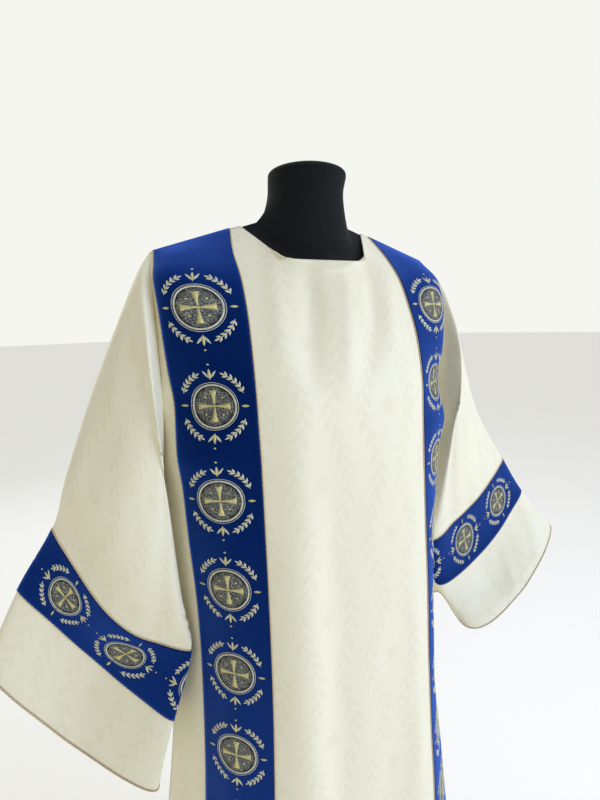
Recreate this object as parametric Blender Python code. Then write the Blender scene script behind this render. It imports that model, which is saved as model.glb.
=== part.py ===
"""A dalmatic, the wide-sleeved deacon's vestment, worn by a limbless dress form.

Metres, +Z up. The figure faces -Y and its left hand is at +X. The origin is the
centre of the stand's base, on the floor. Every cloth piece is a thin wall: a grid
of points on its outer side, and the same points moved inwards by the wall.
Stripes, bands and edgings use the points of the cloth that they are sewn to.
"""

from collections import namedtuple
from math import cos, pi, radians, sin

import bpy
import numpy as np

# ---------------------------------------------------------------- sizes
CLOTH = 0.0016  # damask with its interlining
GALLOON = 0.0010  # woven stripe, sewn flat
GALLOON_WIDTH = 0.113
BRAID = 0.0014  # height of the gold edging
BRAID_WIDTH = 0.0028
SEAM_GAP = 0.0003
SEAM_Y = -0.009  # plane of the shoulder and side seams
BACK_DEPTH = 0.90  # depth of the back, as a share of the front's

SHARP_ANGLE = 40.0  # degrees between faces from which their edge is shaded sharp
FLIP = np.array((-1.0, 1.0, 1.0))  # left and right exchanged

NECK_CENTRE = (0.0, -0.086, 1.428)  # middle of the square front neckline
NECK_CORNER = (0.071, -0.078, 1.429)
NECK_SHOULDER = 0.108  # where the neckline meets the shoulder seam
CLAVUS_SHOULDER = 0.125  # inner edge of the stripe on the shoulder seam
CLAVUS_END = 0.2357  # its outer edge there
TIP = 0.2415  # end of the shoulder seam
SHOULDER_Z = 1.477  # height of the seam at the stripe's inner edge
SHOULDER_SLOPE = -0.3176
BACK_NECK_RISE = np.array((0.0, -0.0121, 0.022))  # how much further in and up the back's neckline lies

# Front panel, from the yoke to the hem. Half a section is drawn through the
# centre, the stripe's inner edge, its outer edge and the panel's side edge.
# turn: degrees from frontal that the stripe faces outwards.
Section = namedtuple("Section", "z centre_y inner_x inner_y turn side_x side_y")
SECTIONS = (
    Section(1.400, -0.099, 0.1373, -0.0785, 17.0, 0.2470, -0.036),
    Section(1.360, -0.118, 0.1386, -0.0985, 20.0, 0.2480, -0.046),
    Section(1.320, -0.132, 0.1405, -0.1134, 25.0, 0.2485, -0.052),
    Section(1.280, -0.142, 0.1416, -0.1233, 29.5, 0.2485, -0.054),
    Section(1.235, -0.149, 0.1422, -0.1310, 35.5, 0.2480, -0.053),
    Section(1.200, -0.152, 0.1422, -0.1338, 34.0, 0.2480, -0.048),
    Section(1.165, -0.155, 0.1420, -0.1363, 32.0, 0.2485, -0.040),
    Section(1.120, -0.158, 0.1421, -0.1388, 37.0, 0.2490, SEAM_Y),
    Section(1.050, -0.161, 0.1426, -0.1429, 40.5, 0.2490, SEAM_Y),
    Section(0.950, -0.166, 0.1434, -0.1486, 45.0, 0.2490, SEAM_Y),
    Section(0.850, -0.170, 0.1448, -0.1531, 47.0, 0.2500, SEAM_Y),
    Section(0.700, -0.175, 0.1490, -0.1580, 46.0, 0.2620, SEAM_Y),
    Section(0.500, -0.183, 0.1580, -0.1660, 41.0, 0.2880, SEAM_Y),
    Section(0.300, -0.191, 0.1680, -0.1740, 37.0, 0.3150, SEAM_Y),
    Section(0.200, -0.195, 0.1730, -0.1780, 35.0, 0.3270, SEAM_Y),
)
UNDERARM_ROW = 7  # the section at the foot of the armhole
# The yoke lies between the seam and the first section: its own four points.
YOKE = (
    (0.0, -0.0945, 1.4150),
    (0.1350, -0.0442, 1.4400),
    (0.2400, -0.0290, 1.4230),
    (0.2455, -0.0250, 1.4200),
)

# Soft vertical drapes below the chest: x, half width, depth at the hem, top.
Drape = namedtuple("Drape", "x half_width depth top")
FRONT_DRAPES = (
    Drape(-0.085, 0.032, 0.012, 1.32),
    Drape(0.040, 0.035, -0.007, 1.10),
    Drape(0.105, 0.022, 0.006, 1.00),
)
BACK_DRAPES = (
    Drape(-0.070, 0.035, 0.010, 1.15),
    Drape(0.015, 0.035, -0.008, 1.20),
    Drape(0.090, 0.030, 0.009, 1.10),
)
DRAPE_SPREAD = 0.2  # how much further out a drape lies at the hem, as a share of its x
DRAPE_GROWTH = 0.8  # its depth grows as the way down to this power

# Sleeves: reach is the distance from the shoulder tip down the top fold. Each
# row is a ring round the sleeve: top fold, middle of the front, front ridge and
# underarm fold, then how far back the middle of the back and its ridge lie.
Ring = namedtuple("Ring", "reach top front ridge under back_y back_ridge_y")
UPPER_RINGS = (
    Ring(0.045, (0.260, -0.020, 1.415), (0.264, -0.083, 1.300),
         (0.260, -0.074, 1.165), (0.253, -0.009, 1.105), 0.052, 0.040),
    Ring(0.115, (0.295, -0.031, 1.343), (0.274, -0.083, 1.225),
         (0.256, -0.074, 1.105), (0.255, -0.009, 1.055), 0.060, 0.045),
    Ring(0.220, (0.337, -0.027, 1.245), (0.297, -0.077, 1.130),
         (0.249, -0.066, 1.030), (0.258, -0.005, 1.000), 0.062, 0.045),
)
SLEEVE_RINGS = {
    "right": UPPER_RINGS + (
        Ring(0.330, (0.376, -0.020, 1.142), (0.312, -0.064, 1.030),
             (0.245, -0.066, 0.955), (0.260, 0.000, 0.950), 0.064, 0.045),
        Ring(0.445, (0.400, 0.011, 1.064), (0.302, -0.042, 0.892),
             (0.238, -0.070, 0.866), (0.268, 0.010, 0.885), 0.075, 0.050),
        Ring(0.558, (0.453, 0.031, 0.975), (0.358, 0.001, 0.837),
             (0.269, -0.062, 0.754), (0.290, 0.020, 0.790), 0.095, 0.060),
        Ring(0.678, (0.508, 0.045, 0.862), (0.408, 0.008, 0.716),
             (0.300, -0.055, 0.642), (0.315, 0.030, 0.695), 0.110, 0.070),
    ),
    "left": UPPER_RINGS + (
        Ring(0.330, (0.378, -0.032, 1.147), (0.322, -0.062, 1.040),
             (0.244, -0.056, 0.960), (0.260, 0.000, 0.950), 0.060, 0.045),
        Ring(0.445, (0.459, -0.032, 1.036), (0.356, -0.043, 0.954),
             (0.251, -0.041, 0.903), (0.272, 0.010, 0.905), 0.062, 0.045),
        Ring(0.558, (0.529, -0.030, 0.949), (0.400, -0.038, 0.833),
             (0.275, -0.037, 0.801), (0.299, 0.009, 0.840), 0.058, 0.045),
        Ring(0.678, (0.602, -0.055, 0.857), (0.460, -0.095, 0.752),
             (0.317, -0.084, 0.716), (0.310, -0.011, 0.755), 0.045, 0.035),
    ),
}
RING_STEPS = (6, 5, 3, 3, 5, 6)  # facets from each named point of a ring to the next
ARMHOLE_SHARES = (0.0, 0.48, 0.80, 1.0)  # those points, along half of the armhole
BAND_TOP = 0.445
BAND_FOOT = BAND_TOP + GALLOON_WIDTH
CUFF = 0.678
ARMHOLE_CLEAR = 2 * SEAM_GAP  # how far a sleeve's first ring stands off the panels' edges

# Dress form: half width, front and back depth, height at the side and at the front.
FormRing = namedtuple("FormRing", "half_width depth side_z front_z")
FORM_Y = SEAM_Y
FORM_CLEARANCE = 0.0006
FORM_SHOULDERS = ((0.190, 0.066), (0.155, 0.060), (0.115, 0.052), (0.082, 0.058))  # half width and depth
FORM_FALL = 1.2  # how steeply the form falls away from the shoulder seam
FORM_RINGS = (
    FormRing(0.196, 0.076, 1.400, 1.385),
    FormRing(0.194, 0.088, 1.350, 1.340),
    FormRing(0.178, 0.102, 1.270, 1.265),
    FormRing(0.168, 0.112, 1.190, 1.190),
    FormRing(0.145, 0.102, 1.080, 1.080),
    FormRing(0.132, 0.094, 0.990, 0.990),
    FormRing(0.150, 0.108, 0.890, 0.890),
    FormRing(0.168, 0.118, 0.790, 0.790),
    FormRing(0.166, 0.116, 0.740, 0.740),
)
FORM_SIDES = 28
POLE_SIDES = 16
BASE_SIDES = 40
NECK_RADIUS = 0.060
NECK_FOOT = 1.505
NECK_TOP = 1.556
NECK_SHARES = (0.35, 1.0)  # rings of the neck, from its foot to its top
NECK_LEAN = 0.012  # how far the neck's top stands forward of its foot
CAP_HEIGHT = 0.016
CAP_PROFILE = ((1.0, 0.0), (0.99, 0.45), (0.90, 0.82), (0.62, 1.0))  # shares of the radius and the height
POLE_RADIUS = 0.0175
BASE_RADIUS = 0.190
BASE_HEIGHT = 0.022
BASE_RIM = 0.008

# ---------------------------------------------------------------- curves


def through(knots, points, at):
    """Points at the given places of a smooth curve through points at knots."""
    knots = np.asarray(knots, float)
    points = np.asarray(points, float)
    shape = (-1,) + (1,) * (points.ndim - 1)
    step = np.diff(knots).reshape(shape)
    slope = np.diff(points, axis=0) / step
    inner = (slope[1:] * step[:-1] + slope[:-1] * step[1:]) / (step[1:] + step[:-1])
    tangent = np.concatenate([slope[:1], inner, slope[-1:]])
    at = np.clip(at, knots[0], knots[-1])
    span = np.clip(np.searchsorted(knots, at, side="right") - 1, 0, len(knots) - 2)
    width = step[span]
    t = (at - knots[span]).reshape(shape) / width
    return (
        points[span] * (2 * t**3 - 3 * t**2 + 1)
        + tangent[span] * width * (t**3 - 2 * t**2 + t)
        + points[span + 1] * (3 * t**2 - 2 * t**3)
        + tangent[span + 1] * width * (t**3 - t**2)
    )


def lengths(points):
    """Distance along a line of points, from its first."""
    return np.concatenate([[0.0], np.cumsum(np.linalg.norm(np.diff(points, axis=0), axis=1))])


def unit(vectors):
    """Vectors brought to length 1."""
    return vectors / np.linalg.norm(vectors, axis=-1, keepdims=True)


# ---------------------------------------------------------------- meshes


def new_object(name, points, faces, colour, roughness):
    """A smooth-shaded mesh object with its own material."""
    mesh = bpy.data.meshes.new(name)
    mesh.from_pydata([tuple(p) for p in points], [], faces)
    mesh.validate()
    mesh.shade_smooth()
    mesh.set_sharp_from_angle(angle=radians(SHARP_ANGLE))
    material = bpy.data.materials.new(name)
    material.use_nodes = True
    shader = material.node_tree.nodes["Principled BSDF"]
    shader.inputs["Base Color"].default_value = (*colour, 1.0)
    shader.inputs["Roughness"].default_value = roughness
    mesh.materials.append(material)
    made = bpy.data.objects.new(name, mesh)
    bpy.context.scene.collection.objects.link(made)
    return made


def wall(name, outer, inner, looped, finish):
    """A closed wall between two grids of points, rows by columns.

    A looped wall closes round its columns, like a sleeve. Seen from outside, a
    row's points run anticlockwise round the body, and rows run downwards.
    """
    rows, columns = outer.shape[:2]
    count = rows * columns
    points = np.concatenate([outer.reshape(-1, 3), inner.reshape(-1, 3)])
    faces = []
    across = columns if looped else columns - 1
    for r in range(rows - 1):
        for c in range(across):
            d = (c + 1) % columns
            a, b = r * columns + c, (r + 1) * columns + c
            e, f = (r + 1) * columns + d, r * columns + d
            for triangle in ((a, b, e), (a, e, f)):
                faces.append(triangle)
                faces.append(tuple(count + i for i in reversed(triangle)))
    for c in range(across):
        d = (c + 1) % columns
        foot = (rows - 1) * columns
        faces.append((c, d, count + d, count + c))
        faces.append((foot + d, foot + c, count + foot + c, count + foot + d))
    if not looped:
        for r in range(rows - 1):
            a = r * columns
            b = a + columns
            faces.append((b, a, count + a, count + b))
            a += columns - 1
            b += columns - 1
            faces.append((a, b, count + b, count + a))
    return new_object(name, points, faces, *finish)


def normals(grid, looped):
    """Outward directions at a grid's points."""
    down = np.gradient(grid, axis=0)
    if looped:
        along = np.roll(grid, -1, axis=1) - np.roll(grid, 1, axis=1)
    else:
        along = np.gradient(grid, axis=1)
    return unit(np.cross(down, along))


# ---------------------------------------------------------------- body


def shoulder_point(x):
    """A point of the shoulder seam."""
    return (x, SEAM_Y, SHOULDER_Z + SHOULDER_SLOPE * (x - CLAVUS_SHOULDER))


def section_points(section):
    """The four named points of a section, from its centre to its side edge."""
    turn = radians(section.turn)
    centre = (0.0, section.centre_y, section.z)
    inner = (section.inner_x, section.inner_y, section.z)
    outer_x = section.inner_x + GALLOON_WIDTH * cos(turn)
    outer_y = section.inner_y + GALLOON_WIDTH * sin(turn)
    return centre, inner, (outer_x, outer_y, section.z), (section.side_x, section.side_y, section.z)


# Columns of the front's half grid, from the centre: whole numbers are the
# centre, the stripe's inner edge, its outer edge and the side edge.
COLUMNS = (0.0, 0.24, 0.48, 0.66, 0.84, 0.978, 1.0, 1.25, 1.5, 1.75, 2.0, 2.28, 3.0)
NECK_COLUMN = 2  # the neckline's corner
SHOULDER_COLUMN = 4  # where the neckline meets the seam
INNER_BRAID = 5
CLAVUS_IN = 6
CLAVUS_OUT = 10
OUTER_BRAID = 11
SIDE = len(COLUMNS) - 1


def half_row(centre, inner, outer, side):
    """One row of the half grid, drawn through the four named points and their mirror images."""
    half = np.array((centre, inner, outer, side), float)
    whole = np.concatenate([half[:0:-1] * FLIP, half])
    knots = lengths(whole)
    marks = knots[3:]
    places = np.interp(COLUMNS, range(4), marks)
    stripe = marks[2] - marks[1]
    places[INNER_BRAID] = marks[1] - BRAID_WIDTH
    places[OUTER_BRAID] = min(marks[2] + BRAID_WIDTH, (marks[2] + marks[3]) / 2)
    places[CLAVUS_IN : CLAVUS_OUT + 1] = marks[1] + stripe * np.linspace(0, 1, CLAVUS_OUT - CLAVUS_IN + 1)
    return through(knots, whole, places)


def neck_row():
    """The top row: half the neckline, then the shoulder seam."""
    row = np.zeros((len(COLUMNS), 3))
    row[: NECK_COLUMN + 1] = np.linspace(NECK_CENTRE, NECK_CORNER, NECK_COLUMN + 1)
    neck = shoulder_point(NECK_SHOULDER)
    steps = SHOULDER_COLUMN - NECK_COLUMN + 1
    row[NECK_COLUMN : SHOULDER_COLUMN + 1] = np.linspace(NECK_CORNER, neck, steps)
    marks = np.linspace(CLAVUS_SHOULDER, CLAVUS_END, CLAVUS_OUT - CLAVUS_IN + 1)
    places = (CLAVUS_SHOULDER - BRAID_WIDTH, *marks, CLAVUS_END + BRAID_WIDTH, TIP)
    row[INNER_BRAID:] = [shoulder_point(x) for x in places]
    return row


ROWS_BETWEEN = (2, 2) + (1,) * 8 + (2, 2, 2, 2, 1, 1)  # steps from each drawn row to the next
DRAWN_ROWS = 2 + len(SECTIONS)


def panel_rows():
    """Where the grid's rows lie, counted in drawn rows."""
    rows = [0.0]
    for start in range(DRAWN_ROWS - 1):
        rows.extend(start + np.arange(1, ROWS_BETWEEN[start] + 1) / ROWS_BETWEEN[start])
    return np.array(rows)


def front_half():
    """Half grid of the front, centre to side and top to hem."""
    sections = [half_row(*section_points(s)) for s in SECTIONS]
    drawn = np.array([neck_row(), half_row(*YOKE)] + sections)
    knots = lengths(drawn[:, CLAVUS_IN])
    return through(knots, drawn, np.interp(panel_rows(), range(DRAWN_ROWS), knots))


def draped(grid, drapes):
    """The grid with soft vertical drapes, deeper towards the hem."""
    hem = SECTIONS[-1].z
    for d in drapes:
        share = np.clip((d.top - grid[..., 2]) / (d.top - hem), 0, 1)
        aside = grid[..., 0] - d.x * (1 + DRAPE_SPREAD * share)
        swell = np.exp(-((aside / d.half_width) ** 2))
        grid[..., 1] += np.sign(grid[..., 1]) * d.depth * share**DRAPE_GROWTH * swell
    return grid


def front_grid():
    """Front panel's outer points, from the figure's right side to its left."""
    half = front_half()
    half[:, :, 1] -= SEAM_GAP / 2
    return draped(np.concatenate([half[:, :0:-1] * FLIP, half], axis=1), FRONT_DRAPES)


def back_grid():
    """Back panel's outer points, from the figure's left side to its right."""
    half = front_half()
    half[:, :, 1] = SEAM_Y + (SEAM_Y - half[:, :, 1]) * BACK_DEPTH + SEAM_GAP / 2
    rise = np.linspace(1, 0, SHOULDER_COLUMN + 1)[:, None] * BACK_NECK_RISE
    half[0, : SHOULDER_COLUMN + 1] += rise
    half[1, : SHOULDER_COLUMN + 1] += rise / 2
    return draped(np.concatenate([half[:, :0:-1] * FLIP, half], axis=1), BACK_DRAPES)[:, ::-1]


def panel_normals(grid):
    """Outward directions of a panel, flat across its seams so that the walls stay apart."""
    out = normals(grid, False)
    on_seam = np.abs(grid[..., 1] - SEAM_Y) < SEAM_GAP
    out[on_seam] *= np.array((1.0, 0.0, 1.0))
    return unit(out)


def strip(name, grid, out, columns, low, high, finish):
    """What is sewn on a panel: some of its columns, moved out, as a wall of their own."""
    base = grid[:, columns]
    outward = out[:, columns]
    wall(name, base + outward * high, base + outward * low, False, finish)


def edging(name, grid, out, edge, away, across, clear=SEAM_GAP):
    """A braid beside one line of a grid, on the cloth between it and the next line away.

    across is 1 where the lines are columns, and 0 where they are rings.
    """
    start, end = np.take(grid, edge, across), np.take(grid, away, across)
    start_out, end_out = np.take(out, edge, across), np.take(out, away, across)
    reach = np.linalg.norm(end - start, axis=-1, keepdims=True)
    shares = [clear / reach, np.minimum(BRAID_WIDTH / reach, 1.0)]
    if away < edge:
        shares.reverse()
    points = np.stack([start + (end - start) * s for s in shares], axis=across)
    outward = unit(np.stack([start_out + (end_out - start_out) * s for s in shares], axis=across))
    wall(name, points + outward * (SEAM_GAP + BRAID), points + outward * SEAM_GAP, across == 0, GOLD)


DAMASK = ((0.83, 0.80, 0.70), 0.55)
BLUE = ((0.02, 0.06, 0.40), 0.55)
GOLD = ((0.55, 0.42, 0.20), 0.45)
BLACK = ((0.02, 0.02, 0.022), 0.80)
STEEL = ((0.45, 0.45, 0.46), 0.35)


def panel(name, grid, sides):
    """A panel with its two stripes and their edgings; sides are named in column order."""
    out = panel_normals(grid)
    wall(name, grid, grid - out * CLOTH, False, DAMASK)
    middle = SIDE
    place = name.split("_")[0]
    for side, way in zip(sides, (-1, 1)):
        edges = [middle + way * c for c in (INNER_BRAID, CLAVUS_IN, CLAVUS_OUT, OUTER_BRAID)]
        columns = sorted(range(edges[1], edges[2] + way, way))
        strip(f"clavus_{place}_{side}", grid, out, columns, SEAM_GAP, SEAM_GAP + GALLOON, BLUE)
        for label, edge, away in (("inner", edges[1], edges[0]), ("outer", edges[2], edges[3])):
            edging(f"edging_{place}_{side}_{label}", grid, out, edge, away, 1)


# ---------------------------------------------------------------- sleeves

BRAID_ROOM = 0.006  # ring spacing at the edgings, down the top fold
REACHES = (
    (0.0, 0.022, 0.045, 0.080, 0.115, 0.167, 0.220, 0.275, 0.330, 0.387)
    + (BAND_TOP - BRAID_ROOM, BAND_TOP, BAND_TOP + GALLOON_WIDTH / 3, BAND_TOP + GALLOON_WIDTH * 2 / 3)
    + (BAND_FOOT, BAND_FOOT + BRAID_ROOM, 0.600, 0.640, CUFF - BRAID_ROOM, CUFF)
)
BAND_ROWS = (11, 14)
CUFF_ROW = 19


def sleeve_normals(grid):
    """Outward directions of a sleeve, flat at the armhole so that its wall stays clear of the panels."""
    out = normals(grid, True)
    out[0] *= np.array((0.0, 1.0, 1.0))
    return unit(out)


def armhole_ring():
    """The armhole's edge as a ring of points, from the shoulder tip round by the front."""
    half = front_half()
    last = list(panel_rows()).index(2 + UNDERARM_ROW)
    edge = half[: last + 1, SIDE]
    knots = lengths(edge)
    marks = np.array(ARMHOLE_SHARES) * knots[-1]
    places = [0.0]
    for k, steps in enumerate(RING_STEPS[:3]):
        places.extend(marks[k] + (marks[k + 1] - marks[k]) * np.arange(1, steps + 1) / steps)
    front = through(knots, edge, np.array(places))
    back = front[-2:0:-1].copy()
    back[:, 1] = SEAM_Y + (SEAM_Y - back[:, 1]) * BACK_DEPTH
    return np.concatenate([front, back]) + np.array((ARMHOLE_CLEAR, 0.0, 0.0))


def ring_points(ring):
    """A closed smooth ring through the six named points of a row."""
    back = (ring.front[0], ring.back_y, ring.front[2])
    back_ridge = (ring.ridge[0], ring.back_ridge_y, ring.ridge[2])
    named = np.array((ring.top, ring.front, ring.ridge, ring.under, back_ridge, back))
    wrapped = np.concatenate([named[-2:], named, named[:3]])
    knots = lengths(wrapped)
    places = []
    for k, steps in enumerate(RING_STEPS):
        start, end = knots[2 + k], knots[3 + k]
        places.extend(start + (end - start) * np.arange(steps) / steps)
    return through(knots, wrapped, np.array(places))


def sleeve_grid(side):
    """Outer points of a sleeve, armhole to cuff, left to right as seen from outside.

    The rings are drawn for the left sleeve, from the top fold round by the front,
    which is right to left there. The right sleeve is a mirror image.
    """
    rings = SLEEVE_RINGS[side]
    drawn = np.array([armhole_ring()] + [ring_points(r) for r in rings])
    knots = [0.0] + [r.reach for r in rings]
    grid = through(knots, drawn, np.array(REACHES))
    if side == "left":
        return grid[:, ::-1]
    return grid * FLIP


def sleeve(side):
    """A sleeve with its band, the band's edgings and the cuff's edging."""
    grid = sleeve_grid(side)
    out = sleeve_normals(grid)
    wall(f"sleeve_{side}", grid, grid - out * CLOTH, True, DAMASK)
    first, last = BAND_ROWS
    base, outward = grid[first : last + 1], out[first : last + 1]
    high = base + outward * (SEAM_GAP + GALLOON)
    wall(f"sleeve_band_{side}", high, base + outward * SEAM_GAP, True, BLUE)
    edging(f"edging_sleeve_{side}_upper", grid, out, first, first - 1, 0, clear=2 * SEAM_GAP)
    edging(f"edging_sleeve_{side}_lower", grid, out, last, last + 1, 0, clear=2 * SEAM_GAP)
    edging(f"edging_sleeve_{side}_cuff", grid, out, CUFF_ROW, CUFF_ROW - 1, 0, clear=0.0)


# ---------------------------------------------------------------- dress form


def circle(radius, centre_y, z, sides):
    """A level ring of points about the middle plane."""
    angles = np.arange(sides) * 2 * pi / sides
    x, y = radius * np.cos(angles), centre_y + radius * np.sin(angles)
    return np.stack([x, y, np.full(sides, z)], axis=1)


def lofted(name, rings, finish):
    """A closed solid through rings that run upwards, with flat ends."""
    sides = len(rings[0])
    points = np.concatenate(rings)
    faces = [tuple(reversed(range(sides)))]
    for k in range(len(rings) - 1):
        for i in range(sides):
            j = (i + 1) % sides
            faces.append((k * sides + i, k * sides + j, (k + 1) * sides + j, (k + 1) * sides + i))
    faces.append(tuple((len(rings) - 1) * sides + i for i in range(sides)))
    return new_object(name, points, faces, *finish)


def torso_rings():
    """Rings of the form's torso, from its foot up over the shoulders to the neck."""
    angles = np.arange(FORM_SIDES) * 2 * pi / FORM_SIDES
    across, along = np.cos(angles), np.sin(angles)
    along = np.where(along > 0, along * BACK_DEPTH, along)
    rings = []
    for r in reversed(FORM_RINGS):
        z = r.front_z + (r.side_z - r.front_z) * across**2
        rings.append(np.stack([r.half_width * across, FORM_Y + r.depth * along, z], axis=1))
    for half_width, depth in FORM_SHOULDERS:
        under_seam = shoulder_point(half_width)[2] - CLOTH - FORM_CLEARANCE
        rise = -SHOULDER_SLOPE * half_width * (1 - np.abs(across))
        z = under_seam + rise - FORM_FALL * depth * np.abs(along)
        rings.append(np.stack([half_width * across, FORM_Y + depth * along, z], axis=1))
    for share in NECK_SHARES:
        z = NECK_FOOT + (NECK_TOP - NECK_FOOT) * share
        rings.append(circle(NECK_RADIUS, FORM_Y - NECK_LEAN * share, z, FORM_SIDES))
    return rings


def dress_form():
    """Torso, neck, cap, pole and base of the form."""
    lofted("form_torso", torso_rings(), BLACK)
    cap_y = FORM_Y - NECK_LEAN
    cap_foot = NECK_TOP + SEAM_GAP
    cap = [circle(NECK_RADIUS * r, cap_y, cap_foot + CAP_HEIGHT * h, FORM_SIDES) for r, h in CAP_PROFILE]
    lofted("form_neck_cap", cap, BLACK)
    pole_top = FORM_RINGS[-1].side_z - SEAM_GAP
    pole_foot = BASE_HEIGHT + SEAM_GAP
    lofted("form_pole", [circle(POLE_RADIUS, 0.0, z, POLE_SIDES) for z in (pole_foot, pole_top)], STEEL)
    edge = BASE_HEIGHT - BASE_RIM
    outline = ((BASE_RADIUS, 0.0), (BASE_RADIUS, edge), (BASE_RADIUS - BASE_RIM, BASE_HEIGHT))
    lofted("form_base", [circle(radius, 0.0, z, BASE_SIDES) for radius, z in outline], STEEL)


# ---------------------------------------------------------------- build


def build():
    """Every piece of the vestment and its form."""
    panel("front_panel", front_grid(), ("right", "left"))
    panel("back_panel", back_grid(), ("left", "right"))
    sleeve("right")
    sleeve("left")
    dress_form()


for existing in list(bpy.data.objects):
    bpy.data.objects.remove(existing, do_unlink=True)
build()
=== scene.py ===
"""The looks of a dalmatic, a deacon's wide-sleeved vestment, on a limbless dress form.

Metres, +Z up. The figure faces -Y and its left hand is at +X. Every cloth piece is
a thin shell on a surface of two parameters: rows run down the cloth and columns
run from left to right as seen from outside. Stripes, embroidery and braid are laid
on the same surfaces, so they follow each fold of the cloth under them.
"""

import logging
from dataclasses import dataclass, field
from enum import Enum
from typing import Any, NamedTuple, Sequence

import bpy
import numpy as np
from mathutils import Matrix, Vector
from numpy.typing import NDArray


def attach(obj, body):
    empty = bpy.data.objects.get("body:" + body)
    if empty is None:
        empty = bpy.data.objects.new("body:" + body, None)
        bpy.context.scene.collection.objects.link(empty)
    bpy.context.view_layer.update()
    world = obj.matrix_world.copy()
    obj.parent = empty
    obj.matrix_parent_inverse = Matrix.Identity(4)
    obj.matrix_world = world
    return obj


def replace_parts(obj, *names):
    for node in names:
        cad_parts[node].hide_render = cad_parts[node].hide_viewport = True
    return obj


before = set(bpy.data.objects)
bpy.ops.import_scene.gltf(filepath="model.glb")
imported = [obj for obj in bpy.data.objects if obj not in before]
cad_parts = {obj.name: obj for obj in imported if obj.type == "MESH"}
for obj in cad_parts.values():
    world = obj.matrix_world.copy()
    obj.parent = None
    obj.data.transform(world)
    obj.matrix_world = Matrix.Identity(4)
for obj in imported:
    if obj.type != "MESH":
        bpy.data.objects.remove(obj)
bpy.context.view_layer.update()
LOG = logging.getLogger("dalmatic")
Array = NDArray[np.float64]

# ---------------------------------------------------------------- shared sizes
CLOTH = 0.0016  # damask with its interlining
GALLOON = 0.0010  # woven stripe, sewn flat
GALLOON_WIDTH = 0.113
BRAID_WIDTH = 0.0028
LIFT = 0.0003  # how far the stripes lie off the cloth
SEAM_LAP = 0.0001  # how far two panels pass the plane of their seam, so that it is closed
SEAM_Y = -0.009  # plane of the shoulder and side seams
BACK_DEPTH = 0.90  # depth of the back, as a share of the front's
FLIP = np.array((-1.0, 1.0, 1.0))  # left and right exchanged
HEM_TURN = 0.030  # depth of the turned hem
HEM_RISE = 0.0007  # how far its doubled cloth stands out
HEM_EDGE = 0.002  # half the width over which its step fades
SLEEVE_HEM = HEM_TURN * 0.7  # depth of the turned hem at a cuff
RIPPLE = 0.0004  # height of the cloth's slight unevenness
WAVES = ((1.0, 41, 9, 0.7), (1.0, 23, -17, 2.1), (0.6, 67, 31, 4.0))  # share, radians a metre each way, phase
SHARP = np.radians(50)  # solids' edges that turn by more are shaded sharp


class Side(Enum):
    """The figure's own right and left."""

    RIGHT = "right"
    LEFT = "left"


class Place(Enum):
    """The two panels of the body."""

    FRONT = "front"
    BACK = "back"


# ---------------------------------------------------------------- curves


def through(knots: Any, points: Any, at: Any) -> Array:
    """A smooth curve through points at knots, read at the given places.

    Each stretch is a cubic whose end slopes are the neighbouring chords' slopes,
    each weighted by the other chord's length.

    Args:
        knots: rising places of the points.
        points: one point, row or grid for each knot.
        at: places to read.

    Returns:
        One point, row or grid for each place.
    """
    knots = np.asarray(knots, float)
    points = np.asarray(points, float)
    shape = (-1,) + (1,) * (points.ndim - 1)
    step = np.diff(knots).reshape(shape)
    slope = np.diff(points, axis=0) / step
    inner = (slope[1:] * step[:-1] + slope[:-1] * step[1:]) / (step[1:] + step[:-1])
    tangent = np.concatenate([slope[:1], inner, slope[-1:]])
    at = np.clip(at, knots[0], knots[-1])
    span = np.clip(np.searchsorted(knots, at, side="right") - 1, 0, len(knots) - 2)
    width = step[span]
    t = (at - knots[span]).reshape(shape) / width
    return (
        points[span] * (2 * t**3 - 3 * t**2 + 1)
        + tangent[span] * width * (t**3 - 2 * t**2 + t)
        + points[span + 1] * (3 * t**2 - 2 * t**3)
        + tangent[span + 1] * width * (t**3 - t**2)
    )


def lengths(points: Array, axis: int = 0) -> Array:
    """Distance along lines of points from their first; the last axis holds x, y and z.

    Args:
        points: lines of points.
        axis: the axis that runs along the lines.

    Returns:
        Metres, in the points' shape without its last axis.
    """
    steps = np.linalg.norm(np.diff(points, axis=axis), axis=-1)
    start = np.zeros_like(np.take(steps, [0], axis=axis))
    return np.concatenate([start, np.cumsum(steps, axis=axis)], axis=axis)


def unit(vectors: Array) -> Array:
    """Vectors brought to length 1."""
    return vectors / np.linalg.norm(vectors, axis=-1, keepdims=True)


def smooth_step(low: float, high: float, at: Array) -> Array:
    """0 below low and 1 above high, joined by the cubic 3 t^2 - 2 t^3."""
    t = np.clip((at - low) / (high - low), 0, 1)
    return t * t * (3 - 2 * t)


def subdivided(steps: Sequence[int]) -> Array:
    """Places 0, 1, 2 and on, with each interval cut into its number of steps."""
    parts = [start + np.arange(count) / count for start, count in enumerate(steps)]
    return np.concatenate([*parts, [len(steps)]])


# ---------------------------------------------------------------- folds


class Fold(NamedTuple):
    """A soft ridge in cloth, or a trough where its height is negative.

    start, end: (place across, place along) of its crest's two ends, metres.
    half_width: from the crest to where it is down to a third, at the start.
    height: at the middle of its length.
    bow: how far the middle of the crest bends sideways.
    flare: half width at the end, as a share of that at the start.
    """

    start: tuple[float, float]
    end: tuple[float, float]
    half_width: float
    height: float
    bow: float = 0.0
    flare: float = 1.0


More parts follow.
